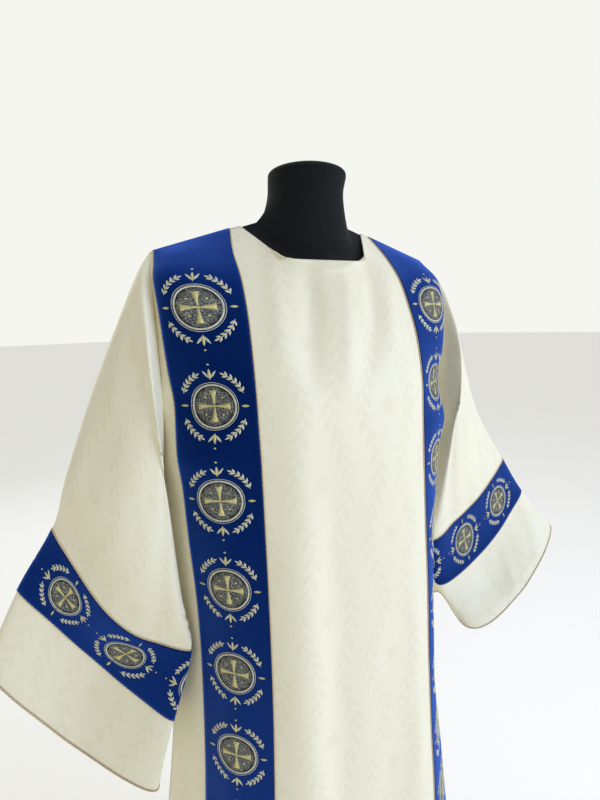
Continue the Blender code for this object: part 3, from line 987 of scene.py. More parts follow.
@dataclass(frozen=True)
class Medallion:
    """A generic roundel for a church vestment, the same in its four quarters.

    A round frame holds a plain flared cross with a bead in each corner on a
    darned ground. A laurel spray bends round each quarter of the frame, with a
    bud on the line across and a three-leaved sprig and a bead on the line along.
    Places are centimetres from its middle: first across the band, then along it.
    Threads are ribbons of three-sided section, crowned in the middle.
    """

    length: float = 11.6
    pitch: float = 0.131  # from one medallion to the next, metres
    disc: float = 2.90  # radius of the round ground
    darned: float = 0.86  # radius of its darned part, as a share of the disc's
    ground_sides: tuple[float, float] = (0.008, -0.020)  # heights of its upper and lower side
    frame_width: float = 0.34
    ring_gap: float = 0.32  # from the frame to the thin ring round it
    thread: float = 0.19
    crown: float = 0.045  # height of a thread's middle
    foot: float = -0.012  # height of its edges, which lie in the band
    stem: tuple[float, float] = (4.36, 4.62)  # a laurel stem's distance from the middle, across and along
    spray: tuple[float, float] = (22.0, 64.0)  # where the stem starts and ends, degrees
    leaves: int = 5  # pairs of leaves on a stem
    leaf_reach: tuple[float, float] = (0.56, 0.42)  # along the stem and away from it
    arc_step: float = 8.0  # longest step along an arc, degrees

    QUARTERS = ((1, 1), (1, -1), (-1, 1), (-1, -1))
    ALONG = ((1, 1), (1, -1))
    ACROSS = ((1, 1), (-1, 1))

    def ribbon(self, line: Array, width: Any, gilt: float, crown: float | None = None) -> Mesh:
        """A thread along a line: left edge, crown and right edge at each step, closed below.

        Args:
            line: steps x 2, centimetres.
            width: of the thread, one number or one for each step.
            gilt: 0 for pale thread and 1 for bright.
            crown: height of its middle, centimetres.

        Returns:
            The thread's mesh.
        """
        line = np.asarray(line, float)
        run = unit(np.gradient(line, axis=0))
        side = np.stack([-run[:, 1], run[:, 0]], axis=1) * np.broadcast_to(width, len(line))[:, None] / 2
        height = np.full(len(line), self.crown if crown is None else crown)
        foot = np.full(len(line), self.foot)
        left = np.column_stack([line + side, foot])
        middle = np.column_stack([line, height])
        right = np.column_stack([line - side, foot])
        points = np.stack([left, middle, right], axis=1).reshape(-1, 3)
        a = 3 * np.arange(len(line) - 1)[:, None]
        sides = [a + np.array(q) for q in ((0, 3, 4, 1), (1, 4, 5, 2), (2, 5, 3, 0))]
        last = 3 * (len(line) - 1)
        ends = np.array(((0, 1, 2, 2), (last, last + 2, last + 1, last + 1)))
        faces = np.concatenate([*sides, ends])
        tone = np.full(len(points), gilt)
        return Mesh(points, faces, tone, np.zeros(len(faces), int))

    def arc(self, radii: tuple[float, float], start: float, end: float) -> Array:
        """Points on an ellipse round the middle, from one angle in degrees to another.

        Args:
            radii: across and along, centimetres.
            start: first angle, degrees.
            end: last angle, degrees.

        Returns:
            Steps x 2, at most arc_step apart.
        """
        steps = max(2, int(np.ceil(abs(end - start) / self.arc_step)) + 1)
        angles = np.radians(np.linspace(start, end, steps))
        return np.stack([radii[0] * np.cos(angles), radii[1] * np.sin(angles)], axis=1)

    def filled(self, start: Any, end: Any, width: float, crown: float, blunt: float, gilt: float) -> Mesh:
        """A filled leaf: its width swells as sin(pi t) with t the way along to the power blunt.

        Args:
            start: one tip.
            end: the other tip.
            width: where it is broadest.
            crown: height of its middle.
            blunt: under 1, it is broadest nearer to its start.
            gilt: 0 for pale thread and 1 for bright.

        Returns:
            The leaf's mesh.
        """
        share = np.linspace(0, 1, 8)[:, None]
        line = np.array(start) + (np.array(end) - np.array(start)) * share
        swell = np.sin(np.pi * np.clip(share[:, 0] * 0.94 + 0.03, 0, 1) ** blunt) ** 0.8
        return self.ribbon(line, width * swell, gilt, crown)

    def leaf(self, start: Any, end: Any, width: float) -> Mesh:
        """A pale laurel leaf, broadest before its middle."""
        return self.filled(start, end, width, 0.05, 0.9, 0.3)

    def bud(self, start: Any, end: Any, width: float) -> Mesh:
        """A bright bud, broadest in its middle."""
        return self.filled(start, end, width, 0.06, 1.0, 1.0)

    def plate(self, grid: Array, tone: Array) -> Mesh:
        """A thin patch of dark ground over a grid of places, closed below.

        Args:
            grid: rows x columns x 2, centimetres.
            tone: for each point, 1 where thread is darned over it and 0 where it is plain.

        Returns:
            The patch's mesh.
        """
        rows, columns = grid.shape[:2]
        flat = grid.reshape(-1, 2)
        top, foot = (np.column_stack([flat, np.full(len(flat), z)]) for z in self.ground_sides)
        quads, _ = ring_of_quads(rows, columns, False)
        count = len(flat)
        edge = np.concatenate([
            np.arange(columns), columns - 1 + columns * np.arange(1, rows),
            (rows - 1) * columns + np.arange(columns - 2, -1, -1), columns * np.arange(rows - 2, 0, -1),
        ])
        onward = np.roll(edge, -1)
        rim = np.stack([edge, onward, onward + count, edge + count], axis=1)
        faces = np.concatenate([quads, quads[:, ::-1] + count, rim])
        return Mesh(np.concatenate([top, foot]), faces, np.tile(tone, 2), np.ones(len(faces), int))

    def spray_of_leaves(self) -> Mesh:
        """A laurel spray: a bent stem with pairs of leaves and one at its tip.

        Returns:
            The spray's mesh, in one quarter.
        """
        along, away = self.leaf_reach
        parts = [self.ribbon(self.arc(self.stem, *self.spray), self.thread * 0.8, 0.1)]
        for angle in np.linspace(self.spray[0] + 3, self.spray[1] - 4, self.leaves):
            start, after = self.arc(self.stem, angle, angle + 1)
            onward = unit(after - start)
            outward = np.array((onward[1], -onward[0]))
            for way in (-1, 1):
                parts.append(self.leaf(start, start + onward * along + outward * away * way, 0.40))
        last, after = self.arc(self.stem, self.spray[1], self.spray[1] + 1)
        parts.append(self.leaf(last, last + unit(after - last) * 0.72, 0.34))
        return joined(parts)

    def arm(self, end: tuple[float, float]) -> Mesh:
        """An arm of the flared cross, from near the middle to its broad end.

        Args:
            end: middle of its broad end.

        Returns:
            The arm's mesh.
        """
        share = np.linspace(0, 1, 6)
        line = np.array(end) * (0.10 + 0.90 * share[:, None])
        return self.ribbon(line, 0.34 + 1.00 * share ** 1.8, 1.0, 0.08)

    def bead(self, middle: tuple[float, float], size: float) -> Mesh:
        """A small round knot of bright thread."""
        x, y = middle
        return self.bud((x - size / 2, y), (x + size / 2, y), size)

    def ground(self) -> Mesh:
        """The round dark ground: a square grid drawn out to a disc, darned but for its margin.

        Returns:
            The ground's mesh.
        """
        steps = np.linspace(-1, 1, 13)
        a, b = np.meshgrid(steps, steps)
        grid = np.stack([a * np.sqrt(1 - b * b / 2), b * np.sqrt(1 - a * a / 2)], axis=-1)
        tone = np.where(np.hypot(grid[..., 0], grid[..., 1]) < self.darned, 1.0, 0.0).ravel()
        return self.plate(grid * self.disc, tone)

    def mesh(self) -> Mesh:
        """The whole medallion.

        Returns:
            The mesh, centimetres.
        """
        r = self.disc
        ring = r + self.ring_gap
        reach, corner = 0.74 * r, 0.40 * r
        tip = self.bud((0.0, 3.62), (0.0, 5.05), 0.50)
        along = [self.arm((0.0, reach)), tip, self.bead((0.0, 5.62), 0.34)]
        across = [self.arm((reach, 0.0)), self.bud((3.62, 0.0), (4.66, 0.0), 0.44)]
        sprig = self.leaf((0.10, 3.86), (0.84, 4.80), 0.38)
        quarter = [self.spray_of_leaves(), self.bead((corner, corner), 0.36), sprig]
        return joined([
            self.ribbon(self.arc((r, r), 0, 360), self.frame_width, 0.15, 0.060),
            self.ribbon(self.arc((ring, ring), 0, 360), self.thread * 0.6, 0.3),
            self.ground(),
            mirrored(joined(quarter), self.QUARTERS),
            mirrored(joined(along), self.ALONG),
            mirrored(joined(across), self.ACROSS),
            self.bead((0.0, 0.0), 0.52),
        ])


@dataclass
class Band:
    """A stripe's surface as places along it and across it.

    points, out: along x across x 3.
    along: length along its middle, metres; a closed band repeats its first line at the end.
    closed: whether it runs round a sleeve.
    """

    points: Array
    out: Array
    along: Array
    closed: bool = False

    def lay(self, across: Array, along: Array, height: Array) -> Array:
        """Points at places across and along the band, moved out by a height.

        Args:
            across: metres from its middle.
            along: metres from its start.
            height: metres above the surface.

        Returns:
            Places in space, in the shape of the arguments.
        """
        count, wide = self.points.shape[:2]
        if self.closed:
            along = np.mod(along, self.along[-1])
        row = np.clip(np.interp(along, self.along, np.arange(count)), 0, count - 1.001)
        column = np.clip((across / GALLOON_WIDTH + 0.5) * (wide - 1), 0, wide - 1.001)
        r, c = row.astype(int), column.astype(int)
        s, t = (row - r)[..., None], (column - c)[..., None]
        height = height[..., None]

        def read(values: Array) -> Array:
            """Values at those places, bilinear between grid points.

            Args:
                values: the band's grid of points or directions.

            Returns:
                A value for each place.
            """
            upper = values[r, c] * (1 - t) + values[r, c + 1] * t
            lower = values[r + 1, c] * (1 - t) + values[r + 1, c + 1] * t
            return upper * (1 - s) + lower * s

        return read(self.points) + read(self.out) * height


def embroider(name: str, band: Band, centres: Array, stretch: float = 1.0) -> bpy.types.Object:
    """Medallions sewn on a band, as one mesh.

    Args:
        name: the piece's name.
        band: where they lie.
        centres: places of their middles along the band, metres.
        stretch: their length, as a share of the drawn one.

    Returns:
        The object, with its thread's tone as the attribute gilt.
    """
    motif = Medallion().mesh()
    places = motif.points / 100  # centimetres to metres
    across = np.broadcast_to(places[:, 0], (len(centres), len(places)))
    along = centres[:, None] + places[:, 1] * stretch
    height = np.broadcast_to(places[:, 2] + LIFT + GALLOON, across.shape)
    points = band.lay(across, along, height).reshape(-1, 3)
    steps = np.arange(len(centres))[:, None, None] * len(places)
    faces = (motif.faces + steps).reshape(-1, 4)
    tone = np.tile(motif.tone, len(centres))
    finish = np.tile(motif.finish, len(centres))
    return loose_mesh(name, points, faces, {"gilt": tone}, finish)


def loose_mesh(
    name: str, points: Array, faces: Array, tones: dict[str, Array], finish: Array
) -> bpy.types.Object:
    """Many small closed shapes as one piece; a face whose last two or first two corners agree is a triangle.

    The faces are turned outwards: the signed volume of the whole is the sum of
    its corners' triple products, and all faces are turned round if it is negative.

    Args:
        name: the piece's name.
        points: vertices x 3.
        faces: faces x 4.
        tones: numbers for each point, by attribute name.
        finish: number of each face's material.

    Returns:
        The object.
    """
    a, b, c, d = (points[faces[:, k]] for k in range(4))
    volume = np.einsum("ij,ij->", a, np.cross(b, c)) + np.einsum("ij,ij->", a, np.cross(c, d))
    if volume < 0:
        faces = faces[:, ::-1]
    keep = np.ones(faces.shape, bool)
    keep[:, 3] = faces[:, 2] != faces[:, 3]
    keep[:, 0] = faces[:, 0] != faces[:, 1]
    starts = np.concatenate([[0], np.cumsum(keep.sum(axis=1))[:-1]])
    mesh = mesh_of(name, points, faces[keep], starts)
    mesh.polygons.foreach_set("material_index", finish.astype(np.int32))
    for label, values in tones.items():
        attribute = mesh.attributes.new(label, "FLOAT", "POINT")
        attribute.data.foreach_set("value", values.astype(np.float32))
    mesh.update(calc_edges=True)
    mesh.validate()
    return riding(name, mesh)


# ---------------------------------------------------------------- braid


@dataclass(frozen=True)
class Cord:
    """A flattened two-ply cord laid along a line of the cloth."""

    half_width: float = 0.00095
    half_height: float = 0.00070
    pitch: float = 0.0070  # length of one turn of its plies
    step: float = 0.0020
    sides: int = 6
    swell: float = 0.16  # how far each ply stands out of the cord
    seat: float = 0.8  # height of its middle, as a share of half its height

    def lay(self, name: str, line: Array, out: Array, closed: bool) -> bpy.types.Object:
        """A cord whose section is an ellipse waved twice round, turning with the way along.

        Args:
            name: the piece's name.
            line: places on the cloth, points x 3.
            out: outward directions there.
            closed: whether the last point lies on the first.

        Returns:
            The object, with the attribute ply, which is 1 on the plies' crowns.
        """
        run = lengths(line)
        count = int(run[-1] / self.step)
        places = np.linspace(0, run[-1], count + 1)
        path = through(run, line, places)
        up = unit(through(run, out, places))
        if closed:
            ahead = np.roll(path[:-1], -1, axis=0) - np.roll(path[:-1], 1, axis=0)
            path, up, places = path[:-1], up[:-1], places[:-1]
        else:
            ahead = np.gradient(path, axis=0)
        side = unit(np.cross(ahead, up))
        turns = max(1, round(run[-1] / self.pitch))
        around = np.arange(self.sides) * 2 * np.pi / self.sides
        phase = 2 * (around[None, :] - 2 * np.pi * turns * places[:, None] / run[-1] / 2)
        ply = np.cos(phase)
        radius = 1 + self.swell * ply
        x = self.half_width * radius * np.cos(around)
        y = self.half_height * radius * np.sin(around)
        centre = path + up * (LIFT + self.half_height * self.seat)
        points = centre[:, None] + side[:, None] * x[..., None] + up[:, None] * y[..., None]
        stations = len(points)
        spans = stations if closed else stations - 1
        r, c = np.meshgrid(np.arange(spans), np.arange(self.sides), indexing="ij")
        r, c = r.ravel(), c.ravel()
        r_next, c_next = (r + 1) % stations, (c + 1) % self.sides
        n = self.sides
        faces = np.stack([r * n + c, r_next * n + c, r_next * n + c_next, r * n + c_next], axis=1)
        if not closed:
            last = (stations - 1) * n
            caps = np.array(((0, 1, 2, 3), (3, 4, 5, 0)))
            faces = np.concatenate([faces, caps, last + caps[:, ::-1]])
        # ply is 1 on the plies' crowns and 0 in the furrows; the cord's material paints the furrows darker
        # from it, as painted shade
        tone = (ply.ravel() + 1) / 2
        return loose_mesh(name, points.reshape(-1, 3), faces, {"ply": tone}, np.zeros(len(faces), int))


# ---------------------------------------------------------------- body


class Section(NamedTuple):
    """Half a level section of the front: its centre, the stripe's inner edge, and the side edge.

    turn: degrees from frontal that the stripe faces outwards.
    """

    z: float
    centre_y: float
    inner_x: float
    inner_y: float
    turn: float
    side_x: float
    side_y: float


class Drape(NamedTuple):
    """A soft vertical drape that deepens towards the hem."""

    x: float
    half_width: float
    depth: float
    top: float


@dataclass
class BodyCut:
    """The body's shape: a grid of half the front, from the centre to the side edge.

    Whole numbers of drawn_columns are the centre, the stripe's inner edge, its
    outer edge and the side edge. Drawn rows are the neckline and shoulder seam,
    the yoke and then the sections.
    """

    sections: tuple[Section, ...] = (
        Section(1.400, -0.099, 0.1373, -0.0785, 17.0, 0.2470, -0.036),
        Section(1.360, -0.118, 0.1386, -0.0985, 20.0, 0.2480, -0.046),
        Section(1.320, -0.132, 0.1405, -0.1134, 25.0, 0.2485, -0.052),
        Section(1.280, -0.142, 0.1416, -0.1233, 29.5, 0.2485, -0.054),
        Section(1.235, -0.149, 0.1422, -0.1310, 35.5, 0.2480, -0.053),
        Section(1.200, -0.152, 0.1422, -0.1338, 34.0, 0.2480, -0.048),
        Section(1.165, -0.155, 0.1420, -0.1363, 32.0, 0.2485, -0.040),
        Section(1.120, -0.158, 0.1421, -0.1388, 37.0, 0.2490, SEAM_Y),
        Section(1.050, -0.161, 0.1426, -0.1429, 40.5, 0.2490, SEAM_Y),
        Section(0.950, -0.166, 0.1434, -0.1486, 45.0, 0.2490, SEAM_Y),
        Section(0.850, -0.170, 0.1448, -0.1531, 47.0, 0.2500, SEAM_Y),
        Section(0.700, -0.175, 0.1490, -0.1580, 46.0, 0.2620, SEAM_Y),
        Section(0.500, -0.183, 0.1580, -0.1660, 41.0, 0.2880, SEAM_Y),
        Section(0.300, -0.191, 0.1680, -0.1740, 37.0, 0.3150, SEAM_Y),
        Section(0.200, -0.195, 0.1730, -0.1780, 35.0, 0.3270, SEAM_Y),
    )
    yoke: tuple[tuple[float, float, float], ...] = (
        (0.0, -0.0945, 1.4150),
        (0.1350, -0.0442, 1.4400),
        (0.2400, -0.0290, 1.4230),
        (0.2455, -0.0250, 1.4200),
    )
    underarm_row: int = 9  # the drawn row at the foot of the armhole
    neck_centre: tuple[float, float, float] = (0.0, -0.086, 1.428)
    neck_corner: tuple[float, float, float] = (0.071, -0.078, 1.429)
    neck_shoulder: float = 0.108  # where the neckline meets the shoulder seam
    clavus_shoulder: float = 0.125  # inner edge of the stripe on the shoulder seam
    clavus_end: float = 0.2357  # its outer edge there
    tip: float = 0.2415  # end of the shoulder seam
    shoulder_z: float = 1.477
    shoulder_slope: float = -0.3176
    back_neck_rise: tuple[float, float, float] = (0.0, -0.0121, 0.022)  # how the back's neckline differs
    drawn_columns: tuple[float, ...] = (
        0.0, 0.24, 0.48, 0.66, 0.84, 0.978, 1.0, 1.25, 1.5, 1.75, 2.0, 2.28, 3.0,
    )
    column_steps: tuple[int, ...] = (8, 8, 6, 6, 5, 1, 6, 6, 6, 6, 1, 13)
    row_steps: tuple[int, ...] = (9, 8, 7, 7, 7, 7, 6, 6, 8, 12, 17, 17, 25, 33, 33, 17)
    neck_column: int = 2  # the drawn column of the neckline's corner
    shoulder_column: int = 4  # of its end on the shoulder seam
    inner_braid: int = 5  # of the inner cord's far edge
    clavus_in: int = 6  # of the stripe's inner edge
    clavus_out: int = 10  # of its outer edge
    outer_braid: int = 11  # of the outer cord's far edge

    def column(self, drawn: int) -> int:
        """Number of a drawn column in the fine half grid."""
        return sum(self.column_steps[:drawn])

    def shoulder_point(self, x: float) -> tuple[float, float, float]:
        """A point of the shoulder seam: a straight slope."""
        return (x, SEAM_Y, self.shoulder_z + self.shoulder_slope * (x - self.clavus_shoulder))

    def half_row(self, *named: tuple[float, float, float]) -> Array:
        """One row of the half grid: a smooth curve through four named points and their mirror images.

        Args:
            named: the centre, the stripe's inner edge, its outer edge and the side edge.

        Returns:
            Fine columns x 3.
        """
        half = np.array(named, float)
        whole = np.concatenate([half[:0:-1] * FLIP, half])
        knots = lengths(whole)
        marks = knots[3:]
        places = np.interp(self.drawn_columns, range(4), marks)
        places[self.inner_braid] = marks[1] - BRAID_WIDTH
        places[self.outer_braid] = min(marks[2] + BRAID_WIDTH, (marks[2] + marks[3]) / 2)
        steps = self.clavus_out - self.clavus_in + 1
        places[self.clavus_in : self.clavus_out + 1] = np.linspace(marks[1], marks[2], steps)
        fine = np.interp(subdivided(self.column_steps), range(len(places)), places)
        return through(knots, whole, fine)

    def neck_row(self) -> Array:
        """The top row: half the neckline, then the shoulder seam, all straight runs.

        Returns:
            Fine columns x 3.
        """
        row = np.zeros((len(self.drawn_columns), 3))
        neck = self.neck_column
        row[: neck + 1] = np.linspace(self.neck_centre, self.neck_corner, neck + 1)
        end = self.shoulder_point(self.neck_shoulder)
        last = self.shoulder_column
        row[neck : last + 1] = np.linspace(self.neck_corner, end, last - neck + 1)
        marks = np.linspace(self.clavus_shoulder, self.clavus_end, self.clavus_out - self.clavus_in + 1)
        places = (self.clavus_shoulder - BRAID_WIDTH, *marks, self.clavus_end + BRAID_WIDTH, self.tip)
        row[self.inner_braid :] = [self.shoulder_point(x) for x in places]
        fine = subdivided(self.column_steps)
        return np.stack([np.interp(fine, range(len(row)), row[:, k]) for k in range(3)], axis=1)

    def half(self) -> Array:
        """Half grid of the front, from the centre to the side and from the top to the hem.

        Returns:
            Fine rows x fine columns x 3.
        """
        drawn = [self.neck_row(), self.half_row(*self.yoke)]
        for s in self.sections:
            turn = np.radians(s.turn)
            inner = (s.inner_x, s.inner_y, s.z)
            outer = (s.inner_x + GALLOON_WIDTH * np.cos(turn), s.inner_y + GALLOON_WIDTH * np.sin(turn), s.z)
            drawn.append(self.half_row((0, s.centre_y, s.z), inner, outer, (s.side_x, s.side_y, s.z)))
        rows = np.array(drawn)
        knots = lengths(rows[:, self.column(self.clavus_in)])
        return through(knots, rows, np.interp(subdivided(self.row_steps), range(len(rows)), knots))

    def armhole(self) -> Array:
        """The front's side edge from the shoulder's tip to the underarm."""
        last = sum(self.row_steps[: self.underarm_row])
        return self.half()[: last + 1, -1]


@dataclass
class Panel:
    """The front or the back of the body, with its two stripes, their embroidery and their edgings.

    folds: places are metres across from the centre, positive to the viewer's
    right as seen from outside, and height above the floor.
    """

    place: Place
    cut: BodyCut
    finishes: Finishes
    first_medallion: float = 0.1306  # from the shoulder seam to the first one's middle
    seam_margin: float = 0.045  # the folds grow to their height over this way from the side edges
    top_margin: float = 0.060  # and over this way from the top

    FOLDS = {
        Place.FRONT: (
            Fold((-0.026, 1.450), (-0.066, 1.235), 0.017, -0.0065, 0.004, 1.3),
            Fold((0.024, 1.440), (-0.012, 1.215), 0.014, 0.0040, 0.0, 1.4),
            Fold((0.082, 1.455), (0.022, 1.245), 0.014, -0.0050, -0.004, 1.2),
            Fold((-0.086, 1.445), (-0.112, 1.260), 0.013, 0.0030, 0.0, 1.3),
            Fold((0.112, 1.420), (0.070, 1.240), 0.012, 0.0022, 0.004, 1.3),
            Fold((-0.094, 1.330), (-0.118, 0.080), 0.030, 0.0060, 0.006, 1.5),
            Fold((-0.050, 1.200), (-0.046, 0.120), 0.022, -0.0030, -0.004, 1.6),
            Fold((0.020, 1.150), (0.030, 0.100), 0.028, 0.0022, 0.006, 1.4),
            Fold((0.086, 1.180), (0.098, 0.060), 0.026, -0.0026, 0.0, 1.5),
            Fold((0.170, 1.240), (0.190, 0.060), 0.018, 0.0020, 0.003, 1.5),
            Fold((-0.200, 1.100), (-0.235, 0.060), 0.024, 0.0030, 0.004, 1.5),
        ),
        Place.BACK: (
            Fold((-0.020, 1.450), (-0.052, 1.200), 0.018, -0.0060, 0.003, 1.3),
            Fold((0.040, 1.450), (0.024, 1.190), 0.016, -0.0050, -0.003, 1.4),
            Fold((0.010, 1.440), (-0.010, 1.180), 0.013, 0.0035, 0.0, 1.3),
            Fold((0.092, 1.400), (0.104, 1.180), 0.014, 0.0030, 0.0, 1.5),
            Fold((-0.104, 1.300), (-0.128, 0.070), 0.028, 0.0055, 0.005, 1.5),
            Fold((-0.020, 1.210), (-0.012, 0.110), 0.024, -0.0035, -0.006, 1.5),
            Fold((0.060, 1.160), (0.074, 0.070), 0.026, 0.0040, 0.005, 1.6),
            Fold((0.130, 1.250), (0.150, 0.060), 0.020, -0.0024, 0.0, 1.5),
            Fold((0.215, 1.060), (0.250, 0.060), 0.024, 0.0030, 0.003, 1.5),
        ),
    }
    DRAPES = {
        Place.FRONT: (
            Drape(-0.085, 0.032, 0.012, 1.32),
            Drape(0.040, 0.035, -0.007, 1.10),
            Drape(0.105, 0.022, 0.006, 1.00),
        ),
        Place.BACK: (
            Drape(-0.070, 0.035, 0.010, 1.15),
            Drape(0.015, 0.035, -0.008, 1.20),
            Drape(0.090, 0.030, 0.009, 1.10),
        ),
    }

    def draped(self, grid: Array) -> Array:
        """The grid with its drapes: bell curves that grow as the share of the way down to the power 0.8.

        Args:
            grid: rows x columns x 3, which is changed.

        Returns:
            The same grid.
        """
        hem = self.cut.sections[-1].z
        for d in self.DRAPES[self.place]:
            share = np.clip((d.top - grid[..., 2]) / (d.top - hem), 0, 1)
            swell = np.exp(-(((grid[..., 0] - d.x * (1 + 0.2 * share)) / d.half_width) ** 2))
            grid[..., 1] += np.sign(grid[..., 1]) * d.depth * share**0.8 * swell
        return grid

    def base(self) -> Array:
        """The panel's grid before its folds, left to right as seen from outside.

        Returns:
            Rows x columns x 3.
        """
        half = self.cut.half()
        if self.place is Place.FRONT:
            half[:, :, 1] += SEAM_LAP
            return self.draped(np.concatenate([half[:, :0:-1] * FLIP, half], axis=1))
        half[:, :, 1] = SEAM_Y + (SEAM_Y - half[:, :, 1]) * BACK_DEPTH - SEAM_LAP
        rows = np.clip(1 - subdivided(self.cut.row_steps), 0, 1)[:, None, None]
        columns = np.clip(1 - subdivided(self.cut.column_steps) / self.cut.shoulder_column, 0, 1)
        half += rows * columns[None, :, None] * np.array(self.cut.back_neck_rise)
        return self.draped(np.concatenate([half[:, :0:-1] * FLIP, half], axis=1))[:, ::-1]

    def surface(self) -> Surface:
        """The panel's outer side, with its folds; they die away at the seams.

        Returns:
            The surface, from the neck to the hem.
        """
        grid = self.base()
        out = self.directions(grid)
        middle = grid.shape[1] // 2
        girth = lengths(grid, axis=1)
        across = girth - girth[:, middle : middle + 1]
        down = lengths(grid[:, middle + self.cut.column(self.cut.clavus_in)])[:, None]
        down = np.broadcast_to(down, across.shape)
        edge = np.minimum(girth, girth[:, -1:] - girth)
        free = smooth_step(0.0, self.seam_margin, edge) * smooth_step(0.0, self.top_margin, down)
        height = relief(self.FOLDS[self.place], across, grid[..., 2]) + ripple(across, down, RIPPLE)
        hem = smooth_step(HEM_TURN + HEM_EDGE, HEM_TURN - HEM_EDGE, down[-1, 0] - down) * HEM_RISE
        points = grid + out * (height * free)[..., None]
        turned_hem = self.directions(points)
        return Surface(points + turned_hem * hem[..., None], self.directions(points), across, down)

    def directions(self, grid: Array) -> Array:
        """Outward directions, flat across the seams so that front and back meet there.

        Args:
            grid: rows x columns x 3.

        Returns:
            Unit vectors, rows x columns x 3.
        """
        out = outward(grid, False)
        on_seam = np.abs(grid[..., 1] - SEAM_Y) < 2 * SEAM_LAP + 1e-6
        out[on_seam] *= np.array((1.0, 0.0, 1.0))
        return unit(out)

    def build(self) -> None:
        """The panel's cloth, stripes, embroidery and edgings."""
        place = self.place.value
        surface = self.surface()
        cloth = shell(f"{place}_cloth", surface, 0.0, -CLOTH)
        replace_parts(dress(cloth, "damask", self.finishes.damask), f"{place}_panel")
        sides = (Side.RIGHT, Side.LEFT) if self.place is Place.FRONT else (Side.LEFT, Side.RIGHT)
        sewn = []
        for side, way in zip(sides, (-1, 1)):
            sewn += self.stripe(surface, side.value, way)
        width, length = surface.cut_size()
        surface.cut_area()
        LOG.info("%s panel: cut %.3f by %.3f m, %.3f square metres", place, width, length, surface.cut_area())

    def stripe(self, surface: Surface, side: str, way: int) -> list[bpy.types.Object]:
        """One stripe with its medallions and its two edgings.

        Args:
            surface: the panel's.
            side: the figure's side, for the names.
            way: -1 on the grid's left half and 1 on its right.

        Returns:
            The pieces.
        """
        place = self.place.value
        middle = surface.across.shape[1] // 2
        ends = sorted(middle + way * self.cut.column(c) for c in (self.cut.clavus_in, self.cut.clavus_out))
        strip = surface.part(slice(None), slice(ends[0], ends[1] + 1))
        centre = strip.points[:, strip.points.shape[1] // 2]
        along = lengths(centre)
        shares = np.linspace(-0.5, 0.5, strip.across.shape[1]) * GALLOON_WIDTH
        strip.across = np.broadcast_to(shares, strip.across.shape)
        strip.down = np.broadcast_to(along[:, None], strip.across.shape)
        ribbon = shell(f"galloon_{place}_{side}", strip, LIFT + GALLOON, LIFT)
        dress(ribbon, "galloon", self.finishes.galloon)
        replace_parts(ribbon, f"clavus_{place}_{side}")
        motif = Medallion()
        last = along[-1] - motif.length / 200  # half a medallion's length, in metres, above the hem
        centres = np.arange(self.first_medallion, last, motif.pitch)
        band = Band(strip.points, strip.out, along)
        sewn = embroider(f"medallions_{place}_{side}", band, centres)
        dress(sewn, "gold_braid", self.finishes.thread, self.finishes.ground)
        pieces = [ribbon, sewn]
        for label, pair in (("inner", (self.cut.inner_braid, self.cut.clavus_in)),
                            ("outer", (self.cut.clavus_out, self.cut.outer_braid))):
            a, b = (middle + way * self.cut.column(c) for c in pair)
            line = (surface.points[:, a] + surface.points[:, b]) / 2
            up = unit(surface.out[:, a] + surface.out[:, b])
            cord = Cord().lay(f"cord_{place}_{side}_{label}", line, up, False)
            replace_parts(dress(cord, "gold_braid", self.finishes.braid), f"edging_{place}_{side}_{label}")
            pieces.append(cord)
        return pieces


# ---------------------------------------------------------------- sleeves


class Ring(NamedTuple):
    """A ring round a sleeve, at a reach down its top fold from the shoulder's tip.

    top, front, ridge, under: the top fold, the middle of the front, the front
    ridge and the underarm fold. back_y, back_ridge_y: how far back the middle of
    the back and its ridge lie.
    """

    reach: float
    top: tuple[float, float, float]
    front: tuple[float, float, float]
    ridge: tuple[float, float, float]
    under: tuple[float, float, float]
    back_y: float
    back_ridge_y: float


UPPER_RINGS = (
    Ring(0.045, (0.2600, -0.020, 1.415), (0.2640, -0.083, 1.300), (0.2600, -0.074, 1.165),
         (0.2530, -0.009, 1.105), 0.052, 0.040),
    Ring(0.115, (0.2950, -0.031, 1.343), (0.2740, -0.083, 1.225), (0.2560, -0.074, 1.105),
         (0.2550, -0.009, 1.055), 0.060, 0.045),
    Ring(0.220, (0.3370, -0.027, 1.245), (0.2970, -0.077, 1.130), (0.2490, -0.066, 1.030),
         (0.2580, -0.005, 1.000), 0.062, 0.045),
)


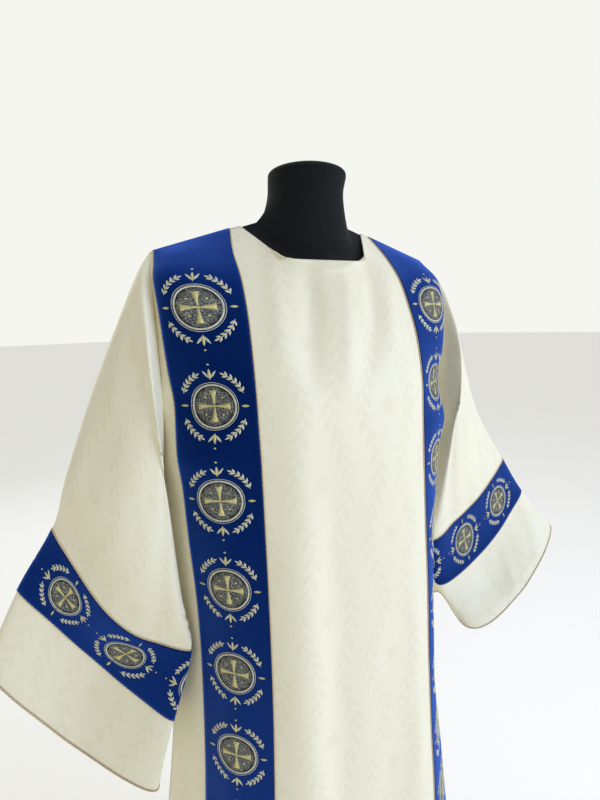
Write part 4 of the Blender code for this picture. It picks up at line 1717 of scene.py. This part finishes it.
@dataclass
class Sleeve:
    """A wide sleeve with its band, the band's medallions and the gold edgings.

    folds: places are metres round the sleeve from its front ridge, negative over
    the front face, and reach down the sleeve.
    """

    side: Side
    cut: BodyCut
    finishes: Finishes
    facets: tuple[int, ...] = (36, 30, 18, 14, 26, 32)  # fine columns between the named points of a ring
    armhole_shares: tuple[float, ...] = (0.0, 0.48, 0.80, 1.0)  # where the named points lie on the armhole
    band_top: float = 0.445  # reach of the band's upper edge
    cuff: float = 0.678  # reach of the cuff
    rows_above: int = 89  # fine rows above the band, along it and below it
    rows_along: int = 23
    rows_below: int = 25
    armhole_margin: float = 0.09  # the folds grow to their height over this way from the armhole
    top_margin: float = 0.05  # and over this way from the top fold
    lap: float = -0.0004  # how far the armhole's edge lies inside the panels' edges

    RINGS = {
        Side.RIGHT: UPPER_RINGS + (
            Ring(0.330, (0.3760, -0.020, 1.142), (0.3120, -0.064, 1.030), (0.2450, -0.066, 0.955),
                 (0.2600, 0.000, 0.950), 0.064, 0.045),
            Ring(0.445, (0.4000, 0.011, 1.064), (0.3020, -0.042, 0.892),
                 (0.2380, -0.070, 0.866), (0.2680, 0.010, 0.885), 0.075, 0.050),
            Ring(0.558, (0.4530, 0.031, 0.975), (0.3580, 0.001, 0.837),
                 (0.2690, -0.062, 0.754), (0.2900, 0.020, 0.790), 0.095, 0.060),
            Ring(0.678, (0.5080, 0.045, 0.862), (0.4080, 0.008, 0.716), (0.3000, -0.055, 0.642),
                 (0.3150, 0.030, 0.695), 0.110, 0.070),
        ),
        Side.LEFT: UPPER_RINGS + (
            Ring(0.330, (0.3780, -0.032, 1.147), (0.3220, -0.062, 1.040), (0.2440, -0.056, 0.960),
                 (0.2600, 0.000, 0.950), 0.060, 0.045),
            Ring(0.445, (0.4590, -0.032, 1.036), (0.3560, -0.043, 0.954),
                 (0.2510, -0.041, 0.903), (0.2720, 0.010, 0.905), 0.062, 0.045),
            Ring(0.558, (0.5290, -0.030, 0.949), (0.4000, -0.038, 0.833),
                 (0.2750, -0.037, 0.801), (0.2990, 0.009, 0.840), 0.058, 0.045),
            Ring(0.678, (0.6020, -0.055, 0.857), (0.4600, -0.095, 0.752),
                 (0.3170, -0.084, 0.716), (0.3100, -0.011, 0.755), 0.045, 0.035),
        ),
    }
    FOLDS = {
        Side.RIGHT: (
            Fold((-0.040, 0.080), (-0.052, 0.500), 0.018, -0.0036, 0.003, 1.3),
            Fold((-0.110, 0.060), (-0.150, 0.560), 0.034, 0.0030, 0.004, 1.6),
            Fold((-0.200, 0.180), (-0.250, 0.660), 0.036, -0.0026, -0.005, 1.4),
            Fold((-0.016, 0.368), (0.006, 0.384), 0.006, -0.0026),
            Fold((-0.014, 0.396), (0.008, 0.404), 0.005, -0.0022),
            Fold((-0.018, 0.418), (0.004, 0.436), 0.006, 0.0018),
            Fold((0.190, 0.090), (0.225, 0.560), 0.024, -0.0050, 0.004, 1.4),
            Fold((0.290, 0.120), (0.330, 0.640), 0.034, 0.0036, 0.003, 1.4),
        ),
        Side.LEFT: (
            Fold((-0.046, 0.090), (-0.070, 0.520), 0.017, -0.0060, 0.004, 1.5),
            Fold((-0.120, 0.080), (-0.160, 0.560), 0.030, 0.0036, 0.003, 1.5),
            Fold((-0.080, 0.590), (-0.165, 0.640), 0.030, -0.0055, 0.006),
            Fold((-0.230, 0.260), (-0.270, 0.640), 0.030, -0.0030, 0.004, 1.3),
            Fold((0.170, 0.100), (0.200, 0.560), 0.024, -0.0050, 0.004, 1.4),
            Fold((0.270, 0.140), (0.300, 0.640), 0.032, 0.0036, -0.003, 1.4),
        ),
    }
    ANCHOR = {Side.RIGHT: 0.1972, Side.LEFT: 0.6365}  # middle of one medallion, metres from the top fold

    def armhole_ring(self) -> Array:
        """The armhole's edge as a closed ring of points, from the shoulder's tip round by the front.

        Returns:
            Fine columns x 3, the first point again at the end.
        """
        edge = self.cut.armhole()
        knots = lengths(edge)
        marks = np.array(self.armhole_shares) * knots[-1]
        front = through(knots, edge, np.interp(subdivided(self.facets[:3]), range(4), marks))
        back = through(knots, edge, np.interp(subdivided(self.facets[:2:-1]), range(4), marks))[::-1].copy()
        back[:, 1] = SEAM_Y + (SEAM_Y - back[:, 1]) * BACK_DEPTH
        return np.concatenate([front, back[1:]]) + np.array((self.lap, 0.0, 0.0))

    def ring(self, ring: Ring) -> Array:
        """A closed smooth ring through the six named points of a row, its first point again at its end.

        Args:
            ring: the named points.

        Returns:
            Fine columns x 3.
        """
        back = (ring.front[0], ring.back_y, ring.front[2])
        back_ridge = (ring.ridge[0], ring.back_ridge_y, ring.ridge[2])
        named = np.array((ring.top, ring.front, ring.ridge, ring.under, back_ridge, back))
        wrapped = np.concatenate([named[-2:], named, named[:3]])
        knots = lengths(wrapped)
        places = np.interp(subdivided(self.facets), range(7), knots[2:9])
        return through(knots, wrapped, places)

    def reaches(self) -> Array:
        """Reach of every fine row, with rows exactly on the band's edges.

        Returns:
            Metres, from the armhole to the cuff.
        """
        foot = self.band_top + GALLOON_WIDTH
        return np.concatenate([
            np.linspace(0, self.band_top, self.rows_above + 1)[:-1],
            np.linspace(self.band_top, foot, self.rows_along + 1)[:-1],
            np.linspace(foot, self.cuff, self.rows_below + 1),
        ])

    def surface(self) -> Surface:
        """The sleeve's outer side with its folds, which die away at the armhole.

        Returns:
            The surface, from the armhole to the cuff.
        """
        rings = self.RINGS[self.side]
        drawn = np.array([self.armhole_ring()] + [self.ring(r) for r in rings])
        reach = self.reaches()
        grid = through([0.0] + [r.reach for r in rings], drawn, reach)
        out = -self.directions(grid)
        girth = lengths(grid, axis=1)
        ridge = sum(self.facets[:2])
        place = girth - girth[:, ridge : ridge + 1]
        reach = np.broadcast_to(reach[:, None], place.shape)
        top = np.minimum(girth, girth[:, -1:] - girth)
        free = smooth_step(0.0, self.armhole_margin, reach) * smooth_step(0.0, self.top_margin, top)
        height = relief(self.FOLDS[self.side], place, reach) + ripple(place, reach, RIPPLE)
        hem = smooth_step(SLEEVE_HEM + HEM_EDGE, SLEEVE_HEM - HEM_EDGE, self.cuff - reach) * HEM_RISE
        points = grid + out * (height * free + hem)[..., None]
        if self.side is Side.RIGHT:
            points = points * FLIP
        else:
            points = points[:, ::-1]
            girth = girth[:, -1:] - girth[:, ::-1]
        return Surface(points, self.directions(points), girth, reach, True)

    def directions(self, grid: Array) -> Array:
        """Outward directions, flat at the armhole, where the sleeve meets the panels.

        Args:
            grid: rows x columns x 3.

        Returns:
            Unit vectors, rows x columns x 3.
        """
        out = outward(grid, True)
        out[0] *= np.array((0.0, 1.0, 1.0))
        return unit(out)

    def build(self) -> None:
        """The sleeve's cloth, band, medallions and edgings."""
        side = self.side.value
        surface = self.surface()
        cloth = shell(f"sleeve_cloth_{side}", surface, 0.0, -CLOTH)
        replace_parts(dress(cloth, "damask", self.finishes.damask), f"sleeve_{side}")
        first, last = self.rows_above, self.rows_above + self.rows_along
        strip = surface.part(slice(first, last + 1), slice(None))
        middle = lengths(strip.points[len(strip.points) // 2])
        across = np.linspace(-0.5, 0.5, last - first + 1) * GALLOON_WIDTH
        strip.across = np.broadcast_to(across[:, None], strip.down.shape)
        strip.down = np.broadcast_to(middle, strip.down.shape)
        ribbon = shell(f"galloon_sleeve_{side}", strip, LIFT + GALLOON, LIFT)
        dress(ribbon, "galloon", self.finishes.galloon)
        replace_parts(ribbon, f"sleeve_band_{side}")
        pitch = middle[-1] / np.ceil(middle[-1] / Medallion().pitch)
        centres = np.arange(self.ANCHOR[self.side], self.ANCHOR[self.side] + middle[-1] - pitch / 2, pitch)
        band = Band(strip.points.transpose(1, 0, 2), strip.out.transpose(1, 0, 2), middle, True)
        sewn = embroider(f"medallions_sleeve_{side}", band, centres, pitch / Medallion().pitch)
        dress(sewn, "gold_braid", self.finishes.thread, self.finishes.ground)
        for label, row in (("upper", first), ("lower", last), ("cuff", len(surface.points) - 1)):
            cord = Cord().lay(f"cord_sleeve_{side}_{label}", surface.points[row], surface.out[row], True)
            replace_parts(dress(cord, "gold_braid", self.finishes.braid), f"edging_sleeve_{side}_{label}")
        width, length = surface.cut_size()
        surface.cut_area()
        LOG.info("%s sleeve: cut %.3f round by %.3f m, band %.3f m round with %d medallions",
                 side, width, length, middle[-1], len(centres))


# ---------------------------------------------------------------- dress form and stand


class FormRing(NamedTuple):
    """A ring of the torso: half width, front depth, and height at the side and at the front."""

    half_width: float
    depth: float
    side_z: float
    front_z: float


@dataclass
class DressForm:
    """The padded torso and its neck cap, under one tight cover each."""

    cut: BodyCut
    finishes: Finishes
    sides: int = 96
    clearance: float = 0.0006
    fall: float = 1.2  # how steeply the form falls away from the shoulder seam
    shoulders: tuple[tuple[float, float], ...] = (  # half width and depth of each ring over the shoulders
        (0.190, 0.066), (0.155, 0.060), (0.115, 0.052), (0.082, 0.058),
    )
    rings: tuple[FormRing, ...] = (
        FormRing(0.166, 0.116, 0.740, 0.740),
        FormRing(0.168, 0.118, 0.790, 0.790),
        FormRing(0.150, 0.108, 0.890, 0.890),
        FormRing(0.132, 0.094, 0.990, 0.990),
        FormRing(0.145, 0.102, 1.080, 1.080),
        FormRing(0.168, 0.112, 1.190, 1.190),
        FormRing(0.178, 0.102, 1.270, 1.265),
        FormRing(0.194, 0.088, 1.350, 1.340),
        FormRing(0.196, 0.076, 1.400, 1.385),
    )
    neck_radius: float = 0.060
    neck_foot: float = 1.505
    neck_top: float = 1.556
    neck_lean: float = 0.012
    cap_height: float = 0.016
    cap_gap: float = 0.0003  # between the neck and the cap's edge
    cap_sunk: float = 0.0005  # how far the cap's foot lies below the neck's top
    cap_foot: float = 0.97  # radius of its foot, as a share of the neck's
    cap_rings: int = 13
    cap_round: tuple[float, float] = (3.2, 1.15)  # powers of the way up, in its radius and in its height
    cap_tip: float = 0.004  # square of its last ring's radius, as a share of the neck's
    neck_shares: tuple[float, ...] = (0.35, 1.0)  # drawn rings of the neck
    steps: tuple[int, ...] = (6, 4, 8, 6)  # fine rings in each interval: torso, shoulders, to the neck, neck

    def torso(self) -> Array:
        """The torso's rings, from its foot to the top of the neck, each with its first point repeated.

        Returns:
            Rings x points x 3.
        """
        angles = np.linspace(0, 2 * np.pi, self.sides + 1)
        across, along = np.cos(angles), np.sin(angles)
        along = np.where(along > 0, along * BACK_DEPTH, along)
        rings = []
        for r in self.rings:
            z = r.front_z + (r.side_z - r.front_z) * across**2
            rings.append(np.stack([r.half_width * across, SEAM_Y + r.depth * along, z], axis=1))
        for half_width, depth in self.shoulders:
            rise = -self.cut.shoulder_slope * half_width * (1 - np.abs(across))
            top = self.cut.shoulder_point(half_width)[2] - CLOTH - self.clearance
            z = top + rise - self.fall * depth * np.abs(along)
            rings.append(np.stack([half_width * across, SEAM_Y + depth * along, z], axis=1))
        for share in self.neck_shares:
            z = self.neck_foot + (self.neck_top - self.neck_foot) * share
            y = SEAM_Y - self.neck_lean * share + self.neck_radius * np.sin(angles)
            rings.append(np.stack([self.neck_radius * across, y, np.full_like(angles, z)], axis=1))
        return np.array(rings)

    def build(self) -> None:
        """The torso's cover and the cap's."""
        drawn = self.torso()
        last_level = len(self.rings) - 1
        neck = last_level + len(self.shoulders)
        level, shoulder, *above = self.steps
        places = subdivided([level] * last_level + [shoulder] * len(self.shoulders) + above)
        rings = through(range(len(drawn)), drawn, places)
        straight = (places > last_level) & (places < neck)
        whole = places.astype(int)
        share = (places - whole)[:, None, None]
        chords = drawn[whole] * (1 - share) + drawn[np.minimum(whole + 1, len(drawn) - 1)] * share
        rings[straight] = chords[straight]
        cover = closed_rings("form_cover", rings)
        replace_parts(dress(cover, "form_cover", self.finishes.jersey), "form_torso")
        share = np.linspace(0, 1, self.cap_rings)
        radius = self.neck_radius * np.sqrt(np.clip(1 - share ** self.cap_round[0], self.cap_tip, 1))
        height = self.neck_top + self.cap_gap + self.cap_height * share ** self.cap_round[1]
        profile = np.stack([radius, radius, height], axis=1)
        inner = self.neck_radius * self.cap_foot
        foot = np.array(((inner, inner, self.neck_top - self.cap_sunk),))
        axis = (0.0, SEAM_Y - self.neck_lean)
        cap = turned("form_neck_cap_cover", np.concatenate([foot, profile]), axis, self.sides)
        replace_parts(dress(cap, "form_cover", self.finishes.jersey), "form_neck_cap")
        LOG.info("dress form: %d rings of %d points", len(rings), self.sides)


@dataclass
class Stand:
    """The steel pole and its round base."""

    finishes: Finishes
    pole_radius: float = 0.0175
    pole_top: float = 0.7397
    base_radius: float = 0.190
    base_height: float = 0.022
    rim: float = 0.008  # radius of the base's rounded edge
    gap: float = 0.0003  # between the base and the pole
    pole_sides: int = 48
    base_sides: int = 96

    def build(self) -> None:
        """The pole, a plain tube, and the base, a disc with a rounded upper edge."""
        foot = self.base_height + self.gap
        r = self.pole_radius
        profile = np.array(((r, r, foot), (r, r, self.pole_top)))
        pole = turned("stand_pole", profile, (0.0, 0.0), self.pole_sides)
        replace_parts(dress(pole, "stand_metal", self.finishes.powder), "form_pole")
        turn = np.linspace(0, np.pi / 2, 7)
        radius = self.base_radius - self.rim * (1 - np.cos(turn))
        height = self.base_height - self.rim * (1 - np.sin(turn))
        edge = np.stack([radius, radius, height], axis=1)
        under = np.array(((self.base_radius, self.base_radius, 0.0),))
        base = turned("stand_base", np.concatenate([under, edge]), (0.0, 0.0), self.base_sides)
        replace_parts(dress(base, "stand_metal", self.finishes.powder), "form_base")
        LOG.info("stand: pole %.0f mm, base %.0f mm across", 2000 * r, 2000 * self.base_radius)


# ---------------------------------------------------------------- studio


class Lamp(NamedTuple):
    """A square soft light: its place, the point that it faces, its side in metres, its watts and colour."""

    name: str
    place: tuple[float, float, float]
    aim: tuple[float, float, float]
    size: float
    power: float
    colour: str


@dataclass
class Studio:
    """The camera, a pale floor and soft lights.

    The camera stands at the figure's right front, a little above the chest.
    """

    azimuth: float = -27.3  # degrees round the figure
    pitch: float = 10.3  # degrees down
    roll: float = -1.4
    place: tuple[float, float, float] = (-0.372, -0.701, 1.351)
    focal: float = 0.590  # focal length as a share of the picture's height
    front_wall: float = 0.38  # brightness of the surround before the figure
    back_wall: float = 0.92
    bright_side: tuple[float, float, float] = (0.40, 0.92, 0.0)  # the way to the bright wall
    wall: str = "#FFFFF9"
    floor_radius: float = 30.0
    floor_sides: int = 64
    floor_z: float = -0.0005  # a little below the stand, so that the two don't share a plane

    LAMPS = (
        Lamp("key_light", (2.3, -2.7, 1.9), (0.0, 0.0, 1.05), 2.0, 86.0, "#CCDCFF"),
        Lamp("top_light", (0.3, 0.2, 3.4), (0.0, -0.05, 1.3), 1.6, 6.0, "#CCDCFF"),
        Lamp("fill_light", (-2.2, -2.3, 1.3), (0.1, -0.1, 1.1), 1.8, 3.0, "#FFEFCF"),
        Lamp("back_light", (-1.2, 2.8, 2.4), (0.0, 0.0, 1.1), 1.8, 16.0, "#FFFFFF"),
    )

    def camera(self) -> None:
        """The camera, its axes worked out from its azimuth, pitch and roll."""
        a, p, r = np.radians((self.azimuth, self.pitch, self.roll))
        level = np.array((-np.sin(a), np.cos(a), 0.0))
        right = np.array((np.cos(a), np.sin(a), 0.0))
        above = np.array((0.0, 0.0, 1.0))
        ahead = level * np.cos(p) - above * np.sin(p)
        over = level * np.sin(p) + above * np.cos(p)
        rolled = right * np.cos(r) + over * np.sin(r), over * np.cos(r) - right * np.sin(r)
        axes = np.stack([*rolled, -ahead], axis=1)
        lens = bpy.data.cameras.new("camera")
        lens.sensor_width = 36.0
        lens.lens = self.focal * lens.sensor_width
        lens.clip_start = 0.02
        lens.clip_end = 100.0
        camera = linked("camera", lens)
        camera.matrix_world = Matrix.Translation(self.place) @ Matrix(axes.tolist()).to_4x4()
        bpy.context.scene.camera = camera

    def light(self, lamp: Lamp) -> None:
        """Hang a lamp and turn it to its aim.

        Args:
            lamp: the lamp.
        """
        light = bpy.data.lights.new(lamp.name, "AREA")
        light.color = linear(lamp.colour)[:3]
        light.size = lamp.size
        light.energy = lamp.power
        hung = linked(lamp.name, light)
        hung.location = lamp.place
        hung.rotation_euler = (Vector(lamp.aim) - Vector(lamp.place)).to_track_quat("-Z", "Y").to_euler()

    def surround(self) -> None:
        """Pale walls all round: bright behind the figure, dimmer in front, changing smoothly between."""
        world = bpy.data.worlds.new("pale_surround")
        world.use_nodes = True
        tree = world.node_tree
        place = node(tree, "ShaderNodeTexCoord").outputs["Generated"]
        behind = node(tree, "ShaderNodeVectorMath", {0: place, 1: self.bright_side}, operation="DOT_PRODUCT")
        ends = {"From Min": -0.6, "From Max": 0.6, "To Min": self.front_wall, "To Max": self.back_wall}
        strength = node(tree, "ShaderNodeMapRange", {"Value": behind.outputs["Value"], **ends},
                        interpolation_type="SMOOTHSTEP").outputs[0]
        feed(tree, tree.nodes["Background"], {"Color": linear(self.wall), "Strength": strength})
        bpy.context.scene.world = world

    def build(self) -> None:
        """Camera, floor, lights and the pale surround."""
        self.camera()
        angles = np.linspace(0, 2 * np.pi, self.floor_sides + 1)[:-1]
        x, y = self.floor_radius * np.cos(angles), self.floor_radius * np.sin(angles)
        mesh = bpy.data.meshes.new("floor")
        mesh.from_pydata(np.stack([x, y, np.full_like(x, self.floor_z)], axis=1).tolist(), [],
                         [tuple(range(self.floor_sides))])
        mesh.materials.append(PaleFloor().material())
        floor = linked("floor", mesh)
        for lamp in self.LAMPS:
            self.light(lamp)
        self.surround()
        bpy.context.scene.view_settings.view_transform = "Standard"
        LOG.info("studio: camera and four lights")


# ---------------------------------------------------------------- all


def main() -> None:
    """Build every sub-assembly in order."""
    logging.basicConfig(level=logging.INFO, format="%(name)s: %(message)s")
    finishes = Finishes()
    cut = BodyCut()
    DressForm(cut, finishes).build()
    Stand(finishes).build()
    for place in Place:
        Panel(place, cut, finishes).build()
    for side in Side:
        Sleeve(side, cut, finishes).build()
    Studio().build()


if __name__ == "__main__":
    main()
